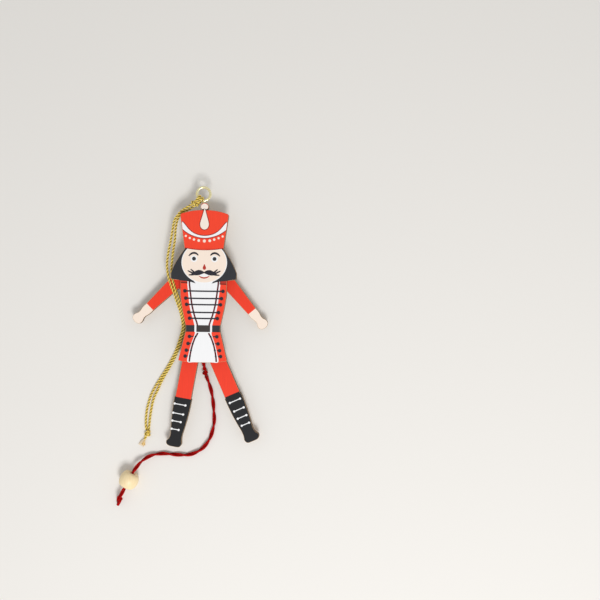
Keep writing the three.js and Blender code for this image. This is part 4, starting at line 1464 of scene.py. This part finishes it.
@dataclass
class Strings:
    """The strings behind the panel that join the limbs to the pull cord, in millimetres.

    A knot's size is how wide and how high it is, and its turn in degrees. The bend's numbers are shares of
    the string's diameter.
    """

    string: CordKind = CordKind(0.8, 2.4, 1.1)
    knot_string: CordKind = CordKind(0.7, 2.0, 1.15)
    knot_size: Spot = (2.6, 1.5, 30.0)
    tie_size: Spot = (2.2, 1.3, 0.0)
    tie_gap: float = 0.7
    step: float = 0.15
    level: float = 6.5
    limb_back: float = 2.7
    bend_near: Flat = (0.4, 0.3)
    bend_far: float = 1.3
    eased: float = 0.12

    def build(self) -> None:
        """Lays the two limb strings, the draw string and their knots."""
        for pair in ("arm", "leg"):
            tie, nodes = f"{pair}_tie_knot", (f"left_{pair}_knot", f"right_{pair}_knot")
            left, right, tied = (Vector(middle_of(node)) for node in (*nodes, tie))
            dip = Vector((tied.x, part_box(tie)[1].y + self.tie_gap * MM, 0))
            self.string.lay(f"{pair}_string_twist", f"{pair}_string", self.limb_line(left, right, dip))
            for node, spot in zip(nodes, (left, right)):
                self.knot_string.tie(node + "_loops", node, spot, *self.knot_size)
            self.knot_string.tie(f"{pair}_tie_loops", tie, tied, *self.tie_size)
        low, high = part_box("draw_string")
        x, _, z = middle_of("draw_string")
        line = even_run(np.array([(x, high.y, z), (x, low.y, z)]), FINE_STEP * MM)
        self.string.lay("draw_string_twist", "draw_string", line)

    def limb_line(self, left: Vector, right: Vector, dip: Vector) -> np.ndarray:
        """Draws a string from one limb's hole across the back to the other's.

        Args:
            left: the left limb's knot.
            right: the right limb's knot.
            dip: where the string is tied to the draw string.

        Returns:
            The string's line, in metres.
        """
        left_end, right_end = self.hole_end(left, dip, 1), self.hole_end(right, dip, -1)
        route = [*left_end, (dip.x, dip.y, self.level * MM), *reversed(right_end)]
        return even_run(smooth_run(route), self.step * MM)

    def hole_end(self, spot: Vector, dip: Vector, way: int) -> list[Spot]:
        """Gives the points where a string turns out of a limb's hole.

        Args:
            spot: the limb's knot.
            dip: where the string is tied to the draw string.
            way: 1 if the string runs off to the right, -1 to the left.

        Returns:
            The points, from the hole's back.
        """
        bend, top = self.string.diameter * MM, self.level * MM
        aside, under = self.bend_near
        eased = spot.y + (dip.y - spot.y) * self.eased
        return [
            (spot.x, spot.y, self.limb_back * MM), (spot.x, spot.y, top - bend),
            (spot.x + way * bend * aside, spot.y, top - bend * under),
            (spot.x + way * bend * self.bend_far, eased, top),
        ]


@dataclass
class FrontPanel:
    """The printed board that is hat, head, coat and skirt, in millimetres on the figure.

    Dots and buttons are a place with a radius or the length of a tail. Braids are a height and two ends.
    """

    figure: Figure
    board: Board = field(init=False)
    hat_brim: float = 50.75
    hair_end: float = 34.75
    belt_top: float = 12.4
    belt_low: float = 9.0
    face_middle: Flat = (0.2, 43.75)
    face_half: Flat = (11.4, 10.35)
    face_rim: float = 0.4
    face_sides: int = 72
    brim: Line = ((-9.5, 50.8), (-5.0, 50.15), (0.1, 49.9), (5.1, 50.15), (9.5, 50.8))
    # A painted shadow line along the brim's lower edge: how far above the edge it runs, and its width.
    brim_shadow_line: Flat = (0.12, 0.28)
    hat_half: float = 9.7
    hat_slope: float = 0.146
    hair_tip: Line = (
        (-12.4, 34.9), (-11.4, 34.66), (-8.6, 34.4), (-6.4, 34.0), (-3.95, 33.25), (-4.9, 34.4),
        (-7.2, 36.2), (-11.8, 38.0),
    )
    plume: Line = (
        (0.1, 70.9), (0.4, 69.9), (0.75, 68.6), (1.4, 66.3), (2.0, 64.2), (2.2, 62.7), (1.8, 61.3),
        (1.0, 60.5), (0.05, 60.25), (-0.9, 60.5), (-1.7, 61.3), (-2.1, 62.7), (-1.9, 64.2), (-1.25, 66.3),
        (-0.6, 68.6), (-0.25, 69.9),
    )
    swag_outer: Line = (
        (-11.7, 63.2), (-11.15, 60.75), (-9.4, 59.25), (-6.85, 57.7), (-4.25, 56.75), (-1.8, 56.2),
        (0.1, 56.05),
    )
    swag_inner: Line = (
        (-11.0, 64.1), (-9.7, 62.6), (-7.9, 60.4), (-5.85, 58.7), (-3.8, 57.7), (-1.75, 57.2), (0.1, 57.05),
    )
    outline: float = 0.36
    hat_dots: Route = (
        (-9.2, 56.9, 0.55), (-7.2, 55.9, 0.57), (-5.1, 55.2, 0.6), (-2.7, 54.7, 0.68), (0.1, 54.5, 0.76),
        (2.8, 54.65, 0.7), (5.0, 55.3, 0.62), (7.2, 56.0, 0.57), (9.2, 56.9, 0.55),
    )
    pompom: Line = (
        (-1.78, 71.8), (-1.15, 72.8), (-0.05, 73.25), (1.15, 72.8), (1.78, 71.8), (1.5, 70.75), (0.8, 70.4),
        (0.0, 70.8), (-0.85, 70.4), (-1.5, 70.75),
    )
    # Painted shadow: a dark patch between the pompom's lobes and the hat's top.
    pompom_shade: Line = ((-1.7, 70.9), (1.7, 70.9), (1.25, 69.85), (-1.25, 69.85))
    brow: Line = ((3.2, 47.3), (4.3, 48.25), (5.5, 48.5), (6.8, 48.05), (8.0, 46.95))
    brow_widths: tuple[float, ...] = (0.5, 0.92, 1.0, 0.9, 0.45)
    eyes: Line = ((-4.95, 45.6), (5.3, 45.6))
    eye_white: float = 1.68
    pupil: float = 0.98
    nose: Line = (
        (0.3, 43.0), (0.72, 42.2), (1.12, 41.1), (0.92, 40.4), (0.3, 40.1), (-0.32, 40.4), (-0.52, 41.1),
        (-0.12, 42.2),
    )
    half_moustache: Line = (
        (0.0, 38.95), (0.7, 39.45), (1.6, 39.85), (2.6, 40.0), (3.5, 39.85), (4.4, 39.4), (5.2, 39.0),
        (5.9, 38.9), (6.4, 38.5), (6.3, 37.9), (5.7, 37.45), (4.6, 37.3), (3.4, 37.3), (2.2, 37.5),
        (1.1, 37.95), (0.0, 38.45),
    )
    whiskers: tuple[Line, ...] = (
        ((5.0, 38.9), (6.75, 40.35)), ((5.8, 38.4), (8.2, 39.6)), ((5.2, 37.6), (7.7, 37.45)),
    )
    whisker_widths: tuple[float, ...] = (0.75, 0.72, 0.5)
    teeth_height: float = 37.35
    teeth_half: Flat = (2.3, 0.75)
    teeth_sides: int = 28
    smile: Line = ((-2.4, 37.0), (-1.2, 36.3), (0.2, 36.02), (1.6, 36.3), (2.8, 37.0))
    smile_widths: tuple[float, ...] = (0.25, 0.6, 0.66, 0.6, 0.25)
    coat_axis: float = 0.15
    shirt_edge: Line = (
        (8.25, 34.7), (8.25, 33.0), (7.9, 29.6), (7.5, 26.05), (7.1, 22.7), (6.3, 18.85), (5.4, 15.85),
        (4.9, 14.2), (4.45, 12.3),
    )
    coat_piping: Line = (
        (7.2, 34.6), (7.2, 33.0), (6.8, 29.6), (6.35, 26.05), (5.85, 22.7), (4.95, 18.85), (4.05, 15.85),
        (3.45, 14.2), (2.9, 12.4),
    )
    piping_width: float = 0.8
    # Painted shadow: dark lines along the coat's top edge, under the hair.
    shoulder_shadow_lines: tuple[Line, ...] = (
        ((-11.3, 33.6), (-9.5, 33.5), (-8.0, 33.4)), ((8.0, 33.1), (9.5, 33.05), (11.3, 33.0)),
    )
    shoulder_width: float = 0.45
    # Painted shade: darker red between the hair and the coat's top, standing for the shaded arm behind the
    # panel.
    shoulder_shades: tuple[Line, ...] = (
        ((-11.35, 33.6), (-8.1, 33.45), (-8.1, 34.4), (-11.35, 34.7)),
        ((8.1, 33.1), (11.35, 33.0), (11.35, 34.7), (8.1, 34.4)),
    )
    braids: Route = (
        (29.45, -9.3, 9.75), (25.8, -8.8, 9.05), (22.7, -8.35, 8.6), (18.8, -7.25, 7.7), (15.8, -6.75, 7.1),
    )
    braid_width: float = 0.72
    braid_sag: float = 0.05
    braid_knob: float = 0.9
    buckle: Flat = (3.45, 4.4)
    buckle_lap: float = 0.1
    apron_edge: Line = (
        (4.1, 9.0), (4.2, 8.0), (6.1, 2.5), (7.05, -1.5), (7.65, -6.0), (4.0, -6.13), (0.0, -6.16),
    )
    skirt_piping: Line = (
        (2.7, 8.5), (3.1, 7.7), (3.8, 6.55), (5.15, 3.0), (6.0, -0.4), (6.5, -3.35), (6.75, -5.9),
    )
    buttons: Route = ((6.85, 6.7, 2.0), (7.5, 3.15, 1.4), (8.3, -0.2, 1.25), (8.85, -3.15, 1.2))
    tail_widths: Flat = (0.6, 0.5)
    tail_rise: float = 0.05
    loop_end: float = 0.5

    def build(self) -> None:
        """Builds the board and its print."""
        self.board = Board("front_panel", Body.TORSO, Slot.PANEL)
        self.print_grounds()
        self.print_hat()
        self.print_face()
        self.print_coat()
        self.print_skirt()

    def cut(self, height: float, way: int) -> tuple[Vector, Vector]:
        """Gives a cut across the board that keeps what is above (1) or below (-1) it."""
        ((x, y),) = self.figure.flat([(0.0, height)])
        return Vector((x, y, 0)), Vector((0, way, 0))

    def draw(self, name: str, level: int, ink: Ink, *outlines: Points) -> None:
        """Prints outlines that are drawn on the figure."""
        self.board.print_shapes(name, level, ink, *map(self.figure.flat, outlines))

    def dot(self, name: str, level: int, ink: Ink, spots: Points, radii: float | Sequence[float]) -> None:
        """Prints round dots on the figure."""
        self.board.print_dots(name, level, ink, self.figure.flat(spots), radii)

    def on_coat(self, points: Points) -> list[Flat]:
        """Moves an outline from the figure's axis to the middle of the coat's print."""
        return [(x + self.coat_axis, y) for x, y in points]

    def on_hat(self, points: Points) -> list[Flat]:
        """Keeps an outline inside the hat's slanted sides.

        Args:
            points: the outline.

        Returns:
            The outline, drawn in where it went past them.
        """
        flare, inset = self.hat_slope, 2 * BOARD_ROUNDING
        reach = [self.hat_half + (y - self.hat_brim) * flare - inset for _, y in points]
        return [(max(-r, min(r, x)), y) for (x, y), r in zip(points, reach)]

    def print_grounds(self) -> None:
        """Prints the broad areas of colour."""
        areas = (
            ("hair_print", 1, SLATE, ((self.hair_end, 1), (self.hat_brim, -1))),
            ("coat_print", 1, RED, ((self.belt_top, 1), (self.hair_end, -1))),
            ("belt_print", 1, SLATE, ((self.belt_low, 1), (self.belt_top, -1))),
            ("skirt_print", 1, RED, ((self.belt_low, -1),)),
            ("hat_print", 6, RED, ((self.hat_brim, 1),)),
        )
        for name, level, ink, cuts in areas:
            self.board.print_area(name, level, ink, *(self.cut(*cut) for cut in cuts))

    def print_hat(self) -> None:
        """Prints the brim with a painted shadow line along it, the outlined swag and plume, the pompom with
        painted shadow below it, and the row of dots.
        """
        rise, width = self.brim_shadow_line
        self.draw("hat_brim_print", 6, RED, smooth_run(self.brim))
        # Painted shadow: a dark line along the brim's lower edge.
        self.draw("hat_brim_shadow_line_print", 7, SEAM, stroke([(x, y + rise) for x, y in self.brim], width))
        rims = (self.swag_outer, self.swag_inner)
        lower, upper = (smooth_run([*rim, *mirrored(rim, rim[-1][0])[1:]]) for rim in rims)
        swag = np.vstack([lower[::-1], upper])
        plume = smooth_run(self.plume, steps=5, closed=True)
        self.draw("swag_line_print", 7, SEAM, self.on_hat(grown(swag, self.outline)))
        self.draw("swag_print", 8, WHITE, self.on_hat(swag))
        self.draw("plume_line_print", 7, SEAM, grown(plume, self.outline))
        self.draw("plume_print", 8, BISQUE, plume)
        spots, radii = [dot[:2] for dot in self.hat_dots], [dot[2] for dot in self.hat_dots]
        self.dot("hat_dot_print", 7, CREAM, spots, radii)
        # Painted shadow below the pompom.
        self.draw("pompom_shade_print", 7, PAINTED_SHADOW, self.pompom_shade)
        self.draw("pompom_print", 9, BISQUE, smooth_run(self.pompom, steps=5, closed=True))

    def print_face(self) -> None:
        """Prints the face between the tips of the hair."""
        axis, (across, up), rim = self.face_middle[0], self.face_half, self.face_rim
        self.draw("hair_tip_print", 3, SLATE, *both(self.hair_tip))
        self.draw("face_rim_print", 4, WHITE, oval(self.face_middle, across, up, self.face_sides))
        self.draw("face_print", 5, CREAM, oval(self.face_middle, across - rim, up - rim, self.face_sides))
        self.draw("brow_print", 6, LINE, *both(stroke(self.brow, *self.brow_widths), axis))
        self.dot("eye_white_print", 6, WHITE, self.eyes, self.eye_white)
        self.dot("pupil_print", 7, SLATE, self.eyes, self.pupil)
        self.draw("nose_print", 6, LIPS, smooth_run(self.nose, steps=4, closed=True))
        half = [(axis + x, y) for x, y in self.half_moustache]
        self.draw("moustache_print", 8, LINE, half + mirrored(half, axis)[1:-1])
        lines = [[(axis + x, y) for x, y in hair] for hair in self.whiskers]
        hairs = [stroke(line, *self.whisker_widths) for line in lines]
        self.draw("whisker_print", 7, LINE, *hairs, *(mirrored(hair, axis) for hair in hairs))
        teeth = oval((axis, self.teeth_height), *self.teeth_half, self.teeth_sides)
        self.draw("teeth_print", 6, WHITE, teeth)
        self.draw("smile_print", 7, LIPS, stroke(self.smile, *self.smile_widths))

    def print_coat(self) -> None:
        """Prints the shirt front, its piping, the painted shade and shadow lines at the shoulders, and the
        braids.
        """
        edge = smooth_run(self.shirt_edge)
        self.draw("shirt_print", 2, WHITE, self.on_coat([*edge, *mirrored(edge)]))
        piping = stroke(self.coat_piping, self.piping_width)
        self.draw("coat_piping_print", 3, PIPING, *map(self.on_coat, both(piping)))
        # Painted shade of the arm behind the panel at each shoulder.
        self.draw("shoulder_shade_print", 2, LIPS, *self.shoulder_shades)
        # Painted shadow lines along the coat's top edge.
        shadow_strokes = [stroke(line, self.shoulder_width) for line in self.shoulder_shadow_lines]
        self.draw("shoulder_shadow_line_print", 3, PAINTED_SHADOW, *shadow_strokes)
        lines = [((a, y), ((a + b) / 2, y - self.braid_sag), (b, y)) for y, a, b in self.braids]
        self.draw("braid_print", 4, LINE, *(stroke(line, self.braid_width) for line in lines))
        ends = [(x, y) for y, left, right in self.braids for x in (left, right)]
        self.dot("braid_knob_print", 5, LINE, ends, self.braid_knob)

    def print_skirt(self) -> None:
        """Prints the buckle, the white front of the skirt, its piping and its buttons."""
        near, far = self.buckle
        bottom, top = self.belt_low, self.belt_top
        low, high = bottom - self.buckle_lap, top + self.buckle_lap
        bar = [(near, low), (far, low), (far, high), (near, high)]
        self.draw("buckle_print", 3, WHITE, *map(self.on_coat, both(bar)))
        middle = [(-near, bottom), (near, bottom), (near, top), (-near, top)]
        self.draw("belt_middle_print", 2, BELT, self.on_coat(middle))
        edge = smooth_run(self.apron_edge)
        self.draw("apron_print", 2, WHITE, self.on_coat([*edge, *mirrored(edge)[1:]]))
        piping = stroke(self.skirt_piping, self.piping_width)
        self.draw("skirt_piping_print", 3, PIPING, *map(self.on_coat, both(piping)))
        line = smooth_run(self.skirt_piping)[::-1]
        caught = [(float(np.interp(y, line[:, 1], line[:, 0])), y) for _, y, _ in self.buttons]
        spots = [(x, y) for x, y, _ in self.buttons]
        rows = (
            ("button_print", LINE, spots, self.braid_knob),
            ("loop_end_print", BOOT, caught, self.loop_end),
        )
        for name, ink, places, radius in rows:
            self.dot(name, 4, ink, self.on_coat([*places, *mirrored(places)]), radius)
        tails = [((x, y), (x - tail, y + self.tail_rise)) for x, y, tail in self.buttons]
        marks = [mark for tail in tails for mark in both(stroke(tail, *self.tail_widths))]
        self.draw("button_tail_print", 3, LINE, *map(self.on_coat, marks))


@dataclass
class Limb:
    """A limb that hangs from its peg, in millimetres along it and across it."""

    body: Body
    joint: str
    side: int
    raised: float
    peg: Vector = field(init=False)
    down: Vector = field(init=False)
    outward: Vector = field(init=False)
    board: Board = field(init=False)

    def start(self, frame: dict) -> None:
        """Finds the peg and the way that the limb points, and cuts its board.

        Args:
            frame: the loaded frame.
        """
        found = next(joint for joint in frame["joints"] if joint["name"] == self.joint)
        self.peg = Vector(found["pos_m"])
        turn = math.radians(self.side * self.raised)
        self.down = Vector((math.sin(turn), -math.cos(turn), 0))
        self.outward = Vector((math.cos(turn), math.sin(turn), 0)) * self.side
        self.board = Board(self.body.value, self.body, Slot.LIMB)

    def spot(self, down: float, out: float) -> Flat:
        """Gives a place on the limb, by how far down it is and how far out from the peg."""
        place = self.peg + (self.down * down + self.outward * out) * MM
        return (place.x, place.y)

    def print_ends(self, upper: tuple[str, Ink], lower: tuple[str, Ink], border: float) -> None:
        """Prints the limb in two colours that meet at a border across it.

        Args:
            upper: the name and ink of the part near the peg.
            lower: the name and ink of the part far from it.
            border: how far down from the peg they meet.
        """
        place = self.peg + self.down * border * MM
        for (name, ink), way in ((upper, -self.down), (lower, self.down)):
            self.board.print_area(f"{self.body.value}_{name}", 1, ink, (place, way))


@dataclass
class Arm(Limb):
    """An arm: a red sleeve and a pale hand."""

    wrist: float = 19.47

    def build(self, frame: dict) -> None:
        """Builds the arm and its print."""
        self.start(frame)
        self.print_ends(("sleeve_print", LIMB_RED), ("hand_print", CREAM), self.wrist)


@dataclass
class Leg(Limb):
    """A leg: red trousers and a laced boot. A lace is how far down it is, and its inner and outer end."""

    laces: Route
    boot_top: float = 24.8
    lace_width: float = 0.44
    lace_knob: float = 0.56

    def build(self, frame: dict) -> None:
        """Builds the leg, its print and its laces.

        Args:
            frame: the loaded frame.
        """
        self.start(frame)
        self.print_ends(("trouser_print", LIMB_RED), ("boot_print", BOOT), self.boot_top)
        half = self.lace_width / 2
        bars, ends = [], []
        for down, near, far in self.laces:
            corners = ((down - half, near), (down - half, far), (down + half, far), (down + half, near))
            bars.append([self.spot(*corner) for corner in corners])
            ends += [self.spot(down, near), self.spot(down, far)]
        self.board.print_shapes(self.body.value + "_lace_print", 2, WHITE, *bars)
        self.board.print_dots(self.body.value + "_lace_knob_print", 3, WHITE, ends, self.lace_knob)


LEFT_LACES: Route = ((28.3, -3.15, 2.35), (33.0, -2.85, 2.25), (37.0, -2.35, 1.95), (41.1, -2.05, 1.5))
RIGHT_LACES: Route = ((27.55, -4.15, 1.45), (32.35, -3.8, 1.4), (36.45, -3.6, 1.1), (40.5, -3.15, 0.85))


def main() -> None:
    """Builds the toy and its setting, and writes how large it came out."""
    logging.basicConfig(level=logging.INFO, format="%(message)s")
    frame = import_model()
    figure = Figure.found()
    stage = Stage()
    stage.set_camera(figure)
    PullCord(figure).lay_cord()
    HangingCord(figure).lay_cords()
    stage.light()
    stage.lay_ground()
    ScrewEye(figure).build()
    Pivots().build()
    Strings().build()
    FrontPanel(figure).build()
    Arm(Body.LEFT_ARM, "left_shoulder_hinge", -1, 45.7).build(frame)
    Arm(Body.RIGHT_ARM, "right_shoulder_hinge", 1, 40.5).build(frame)
    Leg(Body.LEFT_LEG, "left_hip_hinge", -1, 9.9, LEFT_LACES).build(frame)
    Leg(Body.RIGHT_LEG, "right_hip_hinge", 1, 24.1, RIGHT_LACES, boot_top=24.0).build(frame)


if __name__ == "__main__":
    main()
